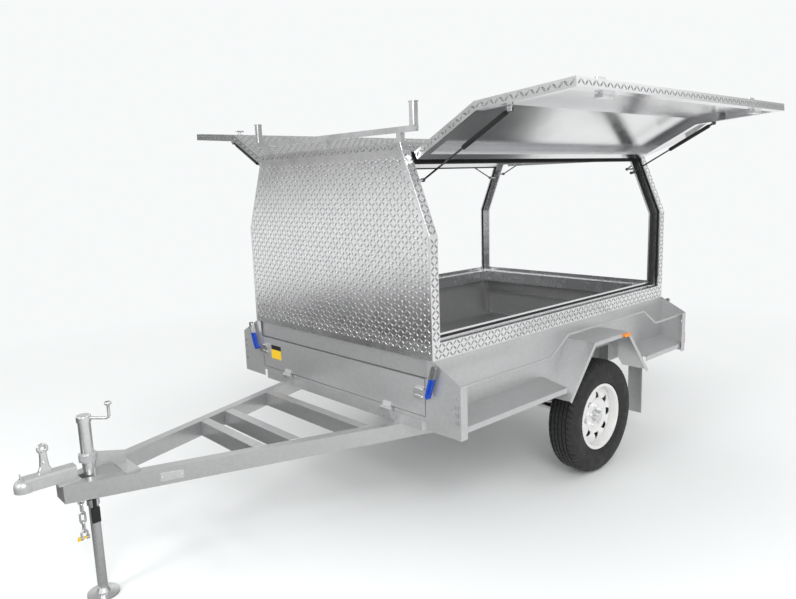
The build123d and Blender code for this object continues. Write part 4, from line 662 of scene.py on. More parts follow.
lip = drawn(lip_low + lip_high, FRONT_X - SINK, FRONT_X + LIP_THICK, 1)
mesh_piece("roof_lip", *lip, TREAD_PLATE, ROOT, smooth=False, slot="tread_plate")
lip_flat = flat((FRONT_X + LIP_THICK, 0, 0), (0, 1, 0), (0, 0, 1), lip_low + lip_high)
treads("lip_treads", [lip_flat], ROOT, margin=0.012)
roof_low, roof_high = (-LENGTH / 2, -ROOF_HALF), (LENGTH / 2, ROOF_HALF)
roof_box = [roof_low, (roof_high[0], roof_low[1]), roof_high, (roof_low[0], roof_high[1])]
roof_middle = ((FRONT_X + REAR_X) / 2, 0, ROOF_Z + SHEET)
roof_flat = flat(roof_middle, (1, 0, 0), (0, 1, 0), roof_box)
treads("roof_treads", [roof_flat], ROOT, margin=0.016)

# %% [markdown]
# ## Treads on the narrow flats
# The corner posts, the sills and the roof's folded edges are tread plate too, but only a few bars
# wide. They are gathered in one list and stamped as one piece.

# %% Posts, sills and folds
strips = []
for sign in (1, -1):
    strips += side_flats(FRONT_X, FRONT_X - POST, ROOF_FOLD, SILL_TOP, sign)
    strips += side_flats(REAR_X + POST, REAR_X, ROOF_FOLD, SILL_TOP, sign)
    sill_x = FRONT_X if sign > 0 else REAR_X
    sill_box = oblong(LENGTH, SILL_TOP - SILL_LOW)
    strips.append(flat((sill_x, sign * HALF, SILL_LOW), (-sign, 0, 0), (0, 0, 1), sill_box))
    fold = np.array([ROOF_HALF, ROOF_Z]) + SLOPE * ROOF_FOLD + LEAN_OUT * SHEET
    fold_origin = (sill_x, sign * fold[0], fold[1])
    fold_up = (0, sign * -SLOPE[0], -SLOPE[1])
    strips.append(flat(fold_origin, (-sign, 0, 0), fold_up, oblong(LENGTH, ROOF_FOLD)))
rear_sill = [(-HALF, SILL_LOW), (HALF, SILL_LOW), (HALF, SILL_TOP), (-HALF, SILL_TOP)]
strips.append(flat((REAR_X, 0, 0), (0, -1, 0), (0, 0, 1), rear_sill))
treads("edge_treads", strips, ROOT, margin=0.009)

# %% [markdown]
# ## Treads on the raised doors
# Each side door is a shell of tread plate: a leaning and an upright face, a lower edge and two
# ends. In the rest pose the door is up, so its bars are worked out on the shut door and turned by
# the joint's full travel about the joint's own axis. They ride on the door's body.

# %% Side doors
for name, sign in (("left", 1), ("right", -1)):
    joint = JOINTS["door_" + name + "_lift"]
    pivot = np.array(joint["pos_m"])
    opened = -joint["range_deg"][0] if sign > 0 else -joint["range_deg"][1]
    flats = side_flats(door_front, door_rear, HINGE_DROP + DOOR_GAP, door_low, sign)
    base_x = door_rear if sign > 0 else door_front
    edge = oblong(DOOR_LENGTH, DOOR_DEPTH)
    flats.append(flat((base_x, sign * HALF, door_low), (sign, 0, 0), (0, -sign, 0), edge))
    for end_x, facing in ((door_front, 1), (door_rear, -1)):
        flats += end_flats(end_x, facing, sign)
    treads("door_treads_" + name, flats, "door_" + name, turn=(pivot, (1, 0, 0), opened))

# %% [markdown]
# ## Tyres
# The rigid tyres are smooth. These carry the real tread: grooves round the crown and short cuts
# across its shoulders. A carved mesh would need thousands of boolean cuts. A surface of revolution
# whose radius drops inside each groove gives the same blocks from one grid.


# %% A closed grid
def grid_faces(rows, columns, wrap_rows=False, wrap_columns=False):
    """Quads between neighbours of a rows by columns grid, closed round either way if asked."""
    i = np.arange(rows if wrap_rows else rows - 1)
    j = np.arange(columns if wrap_columns else columns - 1)
    i, j = np.meshgrid(i, j, indexing="ij")
    i2, j2 = (i + 1) % rows, (j + 1) % columns
    quads = [i * columns + j, i * columns + j2, i2 * columns + j2, i2 * columns + j]
    return np.stack(quads, -1).reshape(-1, 4)


print("a closed 6 by 4 grid has", len(grid_faces(6, 4, True, True)), "quads")

# %% Tyre section and tread
WHEEL_Z = JOINTS["wheel_left_spin"]["pos_m"][2]
AXLE_X = JOINTS["wheel_left_spin"]["pos_m"][0]
TRACK = JOINTS["wheel_left_spin"]["pos_m"][1]
# Half section of a tyre: distance from its middle, radius
TYRE_SECTION = np.array([
    (0.0, 0.3255), (0.030, 0.3248), (0.052, 0.3222), (0.064, 0.3165), (0.0725, 0.306),
    (0.0775, 0.290), (0.0812, 0.268), (0.0818, 0.246), (0.0795, 0.226), (0.0745, 0.208),
    (0.0700, 0.1955), (0.0640, 0.1925), (0.0617, 0.1900), (0.0617, 0.1790),
])
TYRE_SEGMENTS = 360
PITCHES = 60
GROOVES = (0.0, 0.024, 0.046)
GROOVE_HALF = 0.0032
GROOVE_DEPTH = 0.0075
CUT_DEPTH = 0.006
SIPE_DEPTH = 0.0035
CROWN_HALF = 0.0705
SHOULDER = 0.050
# Length of the half section under the tread, and grid rows there and down the wall
TREAD_WRAP, TREAD_ROWS, WALL_ROWS = 0.062, 42, 34
# Share of a pitch that is cut, and pitches that a cut slants by in a metre across
CUT_SHARE, SIPE_SHARE, CUT_SLANT = 0.26, 0.17, 14


def tyre_points(middle):
    """Radius R(a, y) = section(y) - depth, where y is in a groove or the angle a is in a cut."""
    steps = np.linalg.norm(np.diff(TYRE_SECTION, axis=0), axis=1)
    lengths = np.concatenate([[0], np.cumsum(steps)])
    marks = np.unique(np.concatenate([
        np.linspace(0, TREAD_WRAP, TREAD_ROWS),
        np.linspace(TREAD_WRAP, lengths[-1], WALL_ROWS),
    ]))
    half_y = np.interp(marks, lengths, TYRE_SECTION[:, 0])
    half_r = np.interp(marks, lengths, TYRE_SECTION[:, 1])
    y = np.concatenate([-half_y[::-1], half_y[1:]])
    radius = np.concatenate([half_r[::-1], half_r[1:]])
    angle = np.linspace(0, 2 * np.pi, TYRE_SEGMENTS, endpoint=False)
    crown = np.abs(y) < CROWN_HALF
    grooved = np.zeros(len(y), bool)
    for groove in GROOVES:
        grooved |= np.abs(np.abs(y) - groove) < GROOVE_HALF
    phase = (angle[:, None] * PITCHES / (2 * np.pi) + np.abs(y)[None] * CUT_SLANT) % 1
    cut = (phase < CUT_SHARE) & (np.abs(y) > SHOULDER)[None] & crown[None]
    sipe = (phase < SIPE_SHARE) & (np.abs(y) <= SHOULDER)[None]
    drop = np.where(grooved[None], GROOVE_DEPTH, 0)
    drop = np.maximum(drop, np.where(cut, CUT_DEPTH, 0))
    drop = np.maximum(drop, np.where(sipe, SIPE_DEPTH, 0))
    ring = radius[None] - drop
    points = np.stack([
        AXLE_X + ring * np.cos(angle)[:, None],
        np.broadcast_to(middle + y, ring.shape),
        WHEEL_Z + ring * np.sin(angle)[:, None],
    ], -1)
    return points.reshape(-1, 3), len(y)


print("tyre", round(2 * TYRE_SECTION[0, 1], 3), "m across, with", PITCHES, "cuts round a shoulder")

# %% Tyres
for name, middle in (("left", TRACK), ("right", -TRACK)):
    points, count = tyre_points(middle)
    faces = grid_faces(TYRE_SEGMENTS, count, wrap_rows=True, wrap_columns=True)
    title, body = "tyre_tread_" + name, "wheel_" + name
    tyre = mesh_piece(title, points, faces, TYRE, body, smooth=False, slot="tyre_rubber")
    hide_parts("tyre_" + name)
    print(tyre.name, "has", len(faces), "quads")

# %% [markdown]
# ## Wheel faces
# The wheels are pressed steel with eight three-sided openings. Cutting them with booleans leaves
# ragged triangles. Here the disc is a polar grid whose columns lean to follow the openings' sides,
# and the cells inside an opening are left out. The free edges get a wall, which closes the disc.

# %% Disc and barrel sizes
FACE_OUT = 0.030
DISC_WALL = 0.005
SECTORS = 8
COLUMNS = 16
# Distance from the axle, and how far the disc stands out from its bolting face
DISC_PROFILE = np.array([
    (0.034, 0.0), (0.060, 0.0), (0.084, 0.0), (0.090, 0.0010), (0.096, 0.0040), (0.102, 0.0080),
    (0.108, 0.0115), (0.116, 0.0138), (0.124, 0.0138), (0.132, 0.0118), (0.140, 0.0085),
    (0.148, 0.0050), (0.158, 0.0010), (0.171, -0.0060),
])
OPENING_NEAR, OPENING_FAR = 0.102, 0.140
# Half angle of an opening at its near and its far end, in radians
OPENING_ANGLES = [0.23, 0.05]
# Barrel of the rim: distance across from the wheel's middle, radius
BARREL = np.array([
    (-0.070, 0.188), (-0.068, 0.190), (-0.065, 0.190), (-0.063, 0.186), (-0.062, 0.178),
    (0.062, 0.178), (0.063, 0.186), (0.065, 0.190), (0.068, 0.190), (0.070, 0.188),
    (0.070, 0.175), (0.064, 0.172), (0.050, 0.170), (-0.050, 0.170), (-0.064, 0.172),
    (-0.070, 0.175),
])


def outward(points, faces):
    """Faces turned so that the form's volume, a sum of tetrahedra from the origin, is positive."""
    fans = [(face[0], face[k], face[k + 1]) for face in faces for k in range(1, len(face) - 1)]
    one, two, three = np.moveaxis(np.asarray(points, float)[np.array(fans)], 1, 0)
    volume = np.sum(one * np.cross(two, three))
    return faces if volume > 0 else [list(face)[::-1] for face in faces]


def round_axle(middle, across, radius, angle):
    """Points at a distance across and a radius, turned by an angle about the axle."""
    y = np.broadcast_to(middle + across, radius.shape)
    x, z = AXLE_X + radius * np.cos(angle), WHEEL_Z + radius * np.sin(angle)
    return np.stack([x, y, z], -1).reshape(-1, 3)


print("disc from", DISC_PROFILE[0, 0], "to", DISC_PROFILE[-1, 0], "m from the axle")


# %% Wheel disc
def wheel_disc(middle, side):
    """Pressed disc: a polar grid with leaning columns, and the cells of each opening left out."""
    place = np.linspace(-1, 1, COLUMNS, endpoint=False)
    radii = DISC_PROFILE[:, 0]
    half_sector = np.pi / SECTORS
    half_open = np.interp(radii, [OPENING_NEAR, OPENING_FAR], OPENING_ANGLES)[:, None]
    beside = np.sign(place) * (half_open + (np.abs(place) - 0.5) * 2 * (half_sector - half_open))
    local = np.where(np.abs(place) <= 0.5, place * 2 * half_open, beside)
    turns = np.arange(SECTORS) * 2 * half_sector
    angle = (turns[None, :, None] + local[:, None, :]).reshape(len(radii), -1)
    radius = np.broadcast_to(radii[:, None], angle.shape)
    face_out = side * (FACE_OUT + DISC_PROFILE[:, 1:])
    outer = round_axle(middle, face_out, radius, angle)
    inner = round_axle(middle, face_out - side * DISC_WALL, radius, angle)
    rows, columns = angle.shape
    row_open = (radii[:-1] >= OPENING_NEAR - 1e-6) & (radii[1:] <= OPENING_FAR + 1e-6)
    column_open = np.tile(np.abs(place + 1 / COLUMNS) < 0.5, SECTORS)
    kept = ~(row_open[:, None] & column_open[None])
    quads = grid_faces(rows, columns, wrap_columns=True)
    edge_open = [
        np.vstack([np.ones((1, columns), bool), ~kept[:-1]]),
        ~np.roll(kept, -1, 1),
        np.vstack([~kept[1:], np.ones((1, columns), bool)]),
        ~np.roll(kept, 1, 1),
    ]
    count = rows * columns
    faces = quads[kept.reshape(-1)].tolist() + (quads[kept.reshape(-1)][:, ::-1] + count).tolist()
    for k, free in enumerate(edge_open):
        walls = quads[(kept & free).reshape(-1)]
        start, end = walls[:, k], walls[:, (k + 1) % 4]
        faces += np.stack([end, start, start + count, end + count], 1).tolist()
    points = np.concatenate([outer, inner])
    return points, outward(points, faces)


for name, side in (("left", 1), ("right", -1)):
    middle = side * TRACK
    angle = np.linspace(0, 2 * np.pi, SECTORS * COLUMNS, endpoint=False)[:, None]
    radius = np.broadcast_to(BARREL[:, 1], (len(angle), len(BARREL)))
    barrel_points = round_axle(middle, side * BARREL[None, :, 0], radius, angle)
    barrel_faces = grid_faces(len(angle), len(BARREL), wrap_rows=True, wrap_columns=True).tolist()
    barrel = (barrel_points, outward(barrel_points, barrel_faces))
    points, faces = joined([wheel_disc(middle, side), barrel])
    body = "wheel_" + name
    wheel_face = mesh_piece(
        "wheel_face_" + name, points, faces, WHITE, body, smooth=False, slot="white_paint")
    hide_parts("rim_" + name)
    print(wheel_face.name, "has", len(faces), "faces")

# %% [markdown]
# ## Round bars: a circle carried along a path
# Valve stems, seal bulbs, weld beads, the lever's eye and the crank are all round bars along some
# path. The circle's frame is turned as little as possible from one point to the next, so the bar
# doesn't twist, and a radius for each point gives knobs and swellings.


# %% Tubes
def tube(path, radius, sides=10, closed=False):
    """Circle carried along a path, its frame turned as little as possible, its ends capped."""
    path = np.asarray(path, float)
    if closed:
        tangents = np.roll(path, -1, 0) - np.roll(path, 1, 0)
    else:
        tangents = np.gradient(path, axis=0)
    tangents /= np.linalg.norm(tangents, axis=1)[:, None]
    start = np.array([0, 0, 1.0]) if abs(tangents[0][2]) < 0.9 else np.array([1.0, 0, 0])
    first = np.cross(tangents[0], start)
    first /= np.linalg.norm(first)
    frames = [first]
    for tangent in tangents[1:]:
        turned = frames[-1] - tangent * np.dot(frames[-1], tangent)
        frames.append(turned / np.linalg.norm(turned))
    one = np.array(frames)
    two = np.cross(tangents, one)
    angle = np.linspace(0, 2 * np.pi, sides, endpoint=False)
    radii = np.broadcast_to(np.asarray(radius, float), (len(path),))
    cosine, sine = np.cos(angle)[None, :, None], np.sin(angle)[None, :, None]
    ring = one[:, None] * cosine + two[:, None] * sine
    points = path[:, None] + ring * radii[:, None, None]
    faces = grid_faces(len(path), sides, wrap_rows=closed, wrap_columns=True).tolist()
    faces = [face[::-1] for face in faces]
    if not closed:
        faces.append(list(range(sides)))
        last = (len(path) - 1) * sides
        faces.append([last + k for k in range(sides)][::-1])
    return points.reshape(-1, 3), faces


valve_angle = np.radians(15)
VALVE_CIRCLE = 0.158
VALVE_FOOT = 0.004
# Reach along the stem, and its radius there
VALVE_STEM = np.array([(0.0, 0.0055), (0.016, 0.0045), (0.024, 0.0035), (0.034, 0.0035)])
for name, side in (("left", 1), ("right", -1)):
    reach = VALVE_STEM[:, 0]
    valve = np.column_stack([
        np.full(4, AXLE_X + VALVE_CIRCLE * np.cos(valve_angle)),
        side * TRACK + side * (FACE_OUT - VALVE_FOOT + reach),
        np.full(4, WHEEL_Z + VALVE_CIRCLE * np.sin(valve_angle)),
    ])
    stem = tube(valve, VALVE_STEM[:, 1], 10)
    mesh_piece("valve_" + name, *stem, RUBBER, "wheel_" + name, slot="black_rubber")
    print("valve stem of", len(stem[1]), "faces")

# %% [markdown]
# ## Wheel nuts
# Five chamfered nuts hold each wheel. One six-sided prism with its top drawn in is enough at this
# size, stamped at five places round the hub.


# %% Nuts
def prism(sides, radius, height, crown=0.0):
    """A prism standing on z = 0, with its top drawn in by a crown."""
    angle = np.linspace(0, 2 * np.pi, sides, endpoint=False)
    ring = np.stack([np.cos(angle), np.sin(angle)], 1)
    low = np.column_stack([ring * radius, np.zeros(sides)])
    high = np.column_stack([ring * radius, np.full(sides, height - crown)])
    cap = np.column_stack([ring * (radius - crown), np.full(sides, height)])
    faces = grid_faces(3, sides, wrap_columns=True).tolist()
    faces += [list(range(2 * sides, 3 * sides)), list(range(sides))[::-1]]
    return np.concatenate([low, high, cap]), faces


def stamp_at(name, shape, centres, along, normals, material, body, slot_name):
    """A shape stamped at places with given directions, on one body."""
    centres = np.atleast_2d(np.asarray(centres, float))
    along = np.broadcast_to(np.asarray(along, float), centres.shape)
    normals = np.broadcast_to(np.asarray(normals, float), centres.shape)
    points, faces = stamped(*shape, centres, along, normals)
    print(name, "stamped", len(centres), "times")
    return mesh_piece(name, points, faces, material, body, smooth=False, slot=slot_name)


NUT_CIRCLE = 0.057
NUT_SINK = 0.0005
NUT_RADIUS, NUT_HEIGHT, NUT_CHAMFER = 0.0108, 0.017, 0.002
nut = prism(6, NUT_RADIUS, NUT_HEIGHT, NUT_CHAMFER)
nut_angles = np.radians(np.arange(5) * 72 + 90)
for name, side in (("left", 1), ("right", -1)):
    centres = np.column_stack([
        AXLE_X + NUT_CIRCLE * np.cos(nut_angles),
        np.full(5, side * (TRACK + FACE_OUT - NUT_SINK)),
        WHEEL_Z + NUT_CIRCLE * np.sin(nut_angles),
    ])
    body = "wheel_" + name
    stamp_at("nuts_" + name, nut, centres, (1, 0, 0), (0, side, 0), CHROME, body, "zinc_steel")

# %% [markdown]
# ## Corner trims
# Where the front panel meets the sides, a narrow bright edge runs up each corner and along the
# lean. It is a thin strip between two paths that are the section drawn in by different amounts.


# %% Corner trims
TRIM_WIDTH = 0.010
TRIM_THICK = 0.0012
TRIM_INSET = 0.0008
TRIM_LOW = SILL_LOW + 0.004


def inset_path(inset):
    """The canopy's half section drawn in by an inset: y and z from the sill up to the fold."""
    out, rise = -SLOPE[1], SLOPE[0]
    bend = ROOF_Z - (inset + out * (HALF - inset - ROOF_HALF)) / rise
    top = ROOF_HALF + (-inset - rise * (FOLD_Z - ROOF_Z)) / out
    return np.array([(HALF - inset, TRIM_LOW), (HALF - inset, bend), (top, FOLD_Z)])


trim_outline = np.concatenate([inset_path(TRIM_INSET), inset_path(TRIM_WIDTH)[::-1]])
for side, name in ((1, "left"), (-1, "right")):
    edge_trim = drawn(trim_outline, FRONT_X - SINK, FRONT_X + TRIM_THICK, side)
    mesh_piece("corner_trim_" + name, *edge_trim, TRIM, ROOT, smooth=False, slot="aluminium_trim")
print("trims from", round(TRIM_LOW, 3), "to", round(FOLD_Z, 3))

# %% [markdown]
# ## Seals
# Black rubber lines the jambs and flanges that the side doors shut on, with a round bulb on the
# inner edge. The black bands on the flanges are wider than the real seal, and a black strip lies
# under the doorway's top edge: both are painted shade for the shaded recess round the doorway. It
# is all thin and follows the bent opening, so it is cut as bands beside the same section and drawn
# out along the tub. A solidified sheet would not keep the mitre at the bend.

# %% Seals round the side doorways
FLANGE_DEPTH = 0.046
# The black flange bands are this wide as painted shade; the real seal is narrower.
FLANGE_WIDTH = 0.030
LINER = 0.0015
LINER_SINK = 0.0005
SEAL_INSET = 0.002
BULB = 0.006
BULB_RISE = 0.004
JAMB_NEAR, JAMB_FAR = 0.009, 0.024
# Black strip of painted shade along the doorway's top edge: how far up the lean it lies, and
# where its depth starts
STRIP_FAR, STRIP_NEAR, STRIP_DEPTH = 0.0025, 0.0005, 0.008
front_jamb, rear_jamb = FRONT_X - POST, REAR_X + POST
flange = (FLANGE_DEPTH - LINER, FLANGE_DEPTH + LINER_SINK)
seal_drop = HINGE_DROP + SEAL_INSET
upright = side_path(seal_drop, SILL_TOP + SEAL_INSET)
flange_band = band(upright, *flange)
jamb_band = band(upright, JAMB_NEAR, JAMB_FAR)
seal_top = upright[:1]
top_path = np.vstack([seal_top, seal_top + SLOPE * (FLANGE_WIDTH - SEAL_INSET)])
shade_strip_path = np.vstack([seal_top - SLOPE * STRIP_FAR, seal_top - SLOPE * STRIP_NEAR])
bulb_line = side_path(seal_drop + FLANGE_WIDTH + BULB / 2, SILL_TOP + BULB_RISE)
bulb_line = shifted(bulb_line, -FLANGE_DEPTH)[::-1]
bulb_front = front_jamb - FLANGE_WIDTH - BULB / 2
bulb_rear = rear_jamb + FLANGE_WIDTH + BULB / 2
for side, name in ((1, "left"), (-1, "right")):
    round_the_way = [(bulb_front, side * y, z) for y, z in bulb_line]
    round_the_way += [(bulb_rear, side * y, z) for y, z in bulb_line[::-1]]
    points, faces = joined([
        drawn(flange_band, front_jamb - FLANGE_WIDTH, front_jamb - LINER, side),
        drawn(flange_band, rear_jamb + LINER, rear_jamb + FLANGE_WIDTH, side),
        drawn(jamb_band, front_jamb - LINER, front_jamb + LINER_SINK, side),
        drawn(jamb_band, rear_jamb - LINER_SINK, rear_jamb + LINER, side),
        drawn(band(top_path, *flange), rear_jamb, front_jamb, side),
        drawn(band(shade_strip_path, STRIP_DEPTH, FLANGE_DEPTH), rear_jamb, front_jamb, side),
        tube(round_the_way, BULB),
    ])
    seals = "jamb_seals_and_painted_shade_" + name
    mesh_piece(seals, points, faces, RUBBER, ROOT, smooth=False, slot="black_rubber")
    print(seals, "has", len(faces), "faces")

# %% [markdown]
# ## Label and rating plate
# The front gate carries a small label, black above and yellow below, and the drawbar a riveted
# metal plate. Both stay blank. They are thin solids that stand on the sheet, and not painted
# patches, so they keep their crisp edge and catch a little light.


# %% Blank plates
PLATE_SINK = 0.0003


def plate(name, centre, size, normal, across, material, body, slot_name, thick=0.0012):
    """A thin blank plate standing on a surface."""
    normal, across = np.asarray(normal, float), np.asarray(across, float)
    up = np.cross(normal, across)
    signs = np.array([(-1, -1), (1, -1), (1, 1), (-1, 1)]) / 2
    base = np.asarray(centre, float) + signs[:, :1] * size[0] * across + signs[:, 1:] * size[1] * up
    base = base - normal * PLATE_SINK
    points = np.concatenate([base, base + normal * (thick + PLATE_SINK)])
    faces = [(3, 2, 1, 0), (4, 5, 6, 7)]
    faces += [(i, (i + 1) % 4, (i + 1) % 4 + 4, i + 4) for i in range(4)]
    print(name, np.round(size, 3), "m")
    return mesh_piece(name, points, faces, material, body, smooth=False, slot=slot_name)


forward, leftward = (1, 0, 0), (0, 1, 0)
label_y, label_z = -0.552, 0.714
for name, rise, height, material, slot_name in (
    ("label_black", 0.028, 0.026, BLACK, "black_paint"),
    ("label_yellow", -0.012, 0.054, YELLOW, "yellow_paint"),
):
    centre = (FRONT_X, label_y, label_z + rise)
    plate(name, centre, (0.100, height), forward, leftward, material, "gate_front", slot_name)

rail_normal = np.array([0.3226, 0.9465, 0])
rail_along = np.array([-0.9465, 0.3226, 0])
rail_place = np.array([FRONT_X + 1.0, 0.1819, 0.500])
rail_size = (0.095, 0.036)
plate("rail_plate", rail_place, rail_size, rail_normal, rail_along, BRIGHT_ZINC, ROOT, "zinc_steel")
RIVET_REACH, RIVET_OUT = 0.040, 0.001
RIVET_RADIUS, RIVET_HEIGHT, RIVET_DOME = 0.0036, 0.0022, 0.0012
rivet_reaches = np.array([[-RIVET_REACH], [RIVET_REACH]])
rail_rivets = rail_place + rivet_reaches * rail_along + rail_normal * RIVET_OUT
rivet = prism(10, RIVET_RADIUS, RIVET_HEIGHT, RIVET_DOME)
stamp_at("rail_rivets", rivet, rail_rivets, rail_along, rail_normal, TRIM, ROOT, "aluminium_trim")

# %% [markdown]
# ## Coupling lever
# The real lever is a casting: a tapered arm that ends in an eye, with a boss for its cross pin.
# The rigid model has a plain pull of the same height, and this piece takes its place. The arm is a
# tapered outline with bevelled faces, and the eye and the boss are round bars.

# %% Lever sizes and eye
lever_low, lever_high = (np.array(corner, float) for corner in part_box("coupling_handle"))
lever_x = (lever_low[0] + lever_high[0]) / 2
EYE_RADIUS = 0.0150
EYE_WIRE = 0.0075
EYE_POINTS = 28
eye_z = lever_high[2] - EYE_RADIUS - EYE_WIRE
around = np.linspace(0, 2 * np.pi, EYE_POINTS, endpoint=False)
eye_path = np.column_stack([
    lever_x + EYE_RADIUS * np.cos(around),
    np.zeros(EYE_POINTS),
    eye_z + EYE_RADIUS * np.sin(around),
])
eye = tube(eye_path, EYE_WIRE, 12, closed=True)
print("eye at height", round(eye_z, 3))

# %% Lever arm and boss
ARM_HALF_Y = 0.010
ARM_BEVEL = 0.003
BOSS_HALF_Y = 0.017
BOSS_SHARE, BOSS_RADIUS = 0.45, 0.0085
ARM_IN_EYE = 0.002
# Half width of the arm in side view from its foot up, and share of its height
ARM_SIDE = np.array([
    (0.026, 0.0), (0.024, 0.12), (0.017, 0.30), (0.014, 0.60), (0.013, 0.90), (0.010, 1.0),
])
arm_top = eye_z - EYE_RADIUS + ARM_IN_EYE
arm_z = lever_low[2] + ARM_SIDE[:, 1] * (arm_top - lever_low[2])
arm_outline = np.concatenate([
    np.column_stack([ARM_SIDE[:, 0], arm_z]),
    np.column_stack([-ARM_SIDE[::-1, 0], arm_z[::-1]]),
])
arm_count = len(arm_outline)
arm_rows = []
for y in (-ARM_HALF_Y, ARM_BEVEL - ARM_HALF_Y, ARM_HALF_Y - ARM_BEVEL, ARM_HALF_Y):
    inset = ARM_BEVEL if abs(y) == ARM_HALF_Y else 0
    arm_x = lever_x + (arm_outline[:, 0] - np.sign(arm_outline[:, 0]) * inset)
    arm_rows.append(np.column_stack([arm_x, np.full(arm_count, y), arm_outline[:, 1]]))
arm_points = np.concatenate(arm_rows)
arm_faces = grid_faces(4, arm_count, wrap_columns=True).tolist()
for i in range(arm_count // 2 - 1):
    quad = (i, i + 1, arm_count - 2 - i, arm_count - 1 - i)
    arm_faces.append(quad[::-1])
    arm_faces.append(tuple(index + 3 * arm_count for index in quad))
arm = (arm_points, outward(arm_points, arm_faces))
boss_z = lever_low[2] + BOSS_SHARE * (arm_top - lever_low[2])
boss_ends = [(lever_x, -BOSS_HALF_Y, boss_z), (lever_x, BOSS_HALF_Y, boss_z)]
boss = tube(boss_ends, BOSS_RADIUS, 14)
lever = mesh_piece(
    "coupling_lever", *joined([eye, arm, boss]), BRIGHT_ZINC, ROOT, smooth=False, slot="zinc_steel")
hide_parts("coupling_handle")
print("lever from", np.round(lever_low, 3), "to", np.round(lever_high, 3))

# %% [markdown]
# ## Grease nipple
# A nipple stands on the coupling's dome, leaning a little forward. It is a round bar whose radius
# steps from the hexagon down to the ball.

# %% Grease nipple
NIPPLE_BACK, NIPPLE_SINK = 0.030, 0.012
NIPPLE_LEAN = np.array([0.10, 0, 1.0])
# Height up the nipple, and its radius there
NIPPLE_LINE = np.array([(0.0, 0.0065), (0.014, 0.0065), (0.015, 0.004), (0.030, 0.0025)])
coupling_high = np.array(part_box("coupling")[1], float)
nipple_foot = np.array([coupling_high[0] - NIPPLE_BACK, 0, coupling_high[2] - NIPPLE_SINK])
nipple = tube(nipple_foot + NIPPLE_LEAN * NIPPLE_LINE[:, :1], NIPPLE_LINE[:, 1], 10)
mesh_piece("grease_nipple", *nipple, BRIGHT_ZINC, ROOT, smooth=False, slot="zinc_steel")
print("nipple at", np.round(nipple_foot, 3))

# %% [markdown]
# ## Jack crank
# The jack is wound by a bent rod on its cap: a short arm, an upright grip and a flat knob. The
# rigid crank points to the left, and the photograph shows it pointing to the rear left, so this
# piece takes its place. Rod, bends and knob are one round bar with a radius for each point.

# %% Crank arm
tube_low, tube_high = (np.array(corner, float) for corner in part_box("jack_tube"))
CRANK_WAY = np.array([-0.739, 0.673, 0.0])
CRANK_SINK = 0.012
# Along the arm, rise above its start, radius: shaft, bend, upright and its flat knob
CRANK_LINE = np.array([
    (0.0, 0.0, 0.0062), (0.030, -0.001, 0.0062), (0.070, -0.003, 0.0062), (0.092, -0.003, 0.0062),
    (0.100, 0.000, 0.0062), (0.104, 0.007, 0.0062), (0.105, 0.016, 0.0062), (0.105, 0.045, 0.0062),
    (0.105, 0.050, 0.0080), (0.105, 0.055, 0.0135), (0.105, 0.060, 0.0150), (0.105, 0.065, 0.0125),
])
crank_start = np.array([*(tube_low + tube_high)[:2] / 2, tube_high[2] - CRANK_SINK])
crank_path = crank_start + CRANK_LINE[:, :1] * CRANK_WAY + CRANK_LINE[:, 1:2] * [0, 0, 1]
crank_rod = tube(crank_path, CRANK_LINE[:, 2], 14)
crank = mesh_piece("crank_arm", *crank_rod, BRIGHT_ZINC, ROOT, slot="zinc_steel")
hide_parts("jack_crank")
print("crank reaches", np.round(crank_path[-1], 3))

# %% [markdown]
# ## Weld beads
# The drawbar's cross members are welded between its rails. A bead is a thin round bar along each
# joint, its radius rising and falling like the ripples of a weld. A bump on the flat shader would
# vanish at a glance along the drawbar.

# %% Weld beads on the drawbar
BEAD = 0.0032
BEAD_RIPPLE = 0.18
BEAD_POINTS = 13
RAIL_TOP = float(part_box("drawbar")[1][2])
# Nose ahead of the tub, rail's middle line there, its slope outward, and half a rail across
NOSE_REACH, NOSE_HALF, RAIL_SPREAD, RAIL_FACE = 1.390, 0.049, 0.3407, 0.0528
# Each cross member's front and back edge, from the tub's front
CROSS_MEMBERS = [(0.650, 0.600), (0.490, 0.440), (0.170, 0.120)]
beads = []
for member_front, member_back in CROSS_MEMBERS:
    for side in (1, -1):
        stations = np.linspace(member_front, member_back, BEAD_POINTS)
        inner = NOSE_HALF + (NOSE_REACH - stations) * RAIL_SPREAD - RAIL_FACE
        top = np.full(BEAD_POINTS, RAIL_TOP)
        line = np.column_stack([FRONT_X + stations, side * inner, top])
        ripple = 1 + BEAD_RIPPLE * np.cos(np.arange(BEAD_POINTS) * np.pi)
        beads.append(tube(line, BEAD * ripple, 8))
mesh_piece("weld_beads", *joined(beads), GALVANISED, ROOT, slot="galvanised_steel")
print(len(beads), "weld beads")

# %% [markdown]
# ## Corner wings and gate sills
# On the real tub the corner sheets reach in to the headers above each gate, and a folded sill
# closes the gap under it. The rigid model leaves both open, so thin zinc plates fill them here.

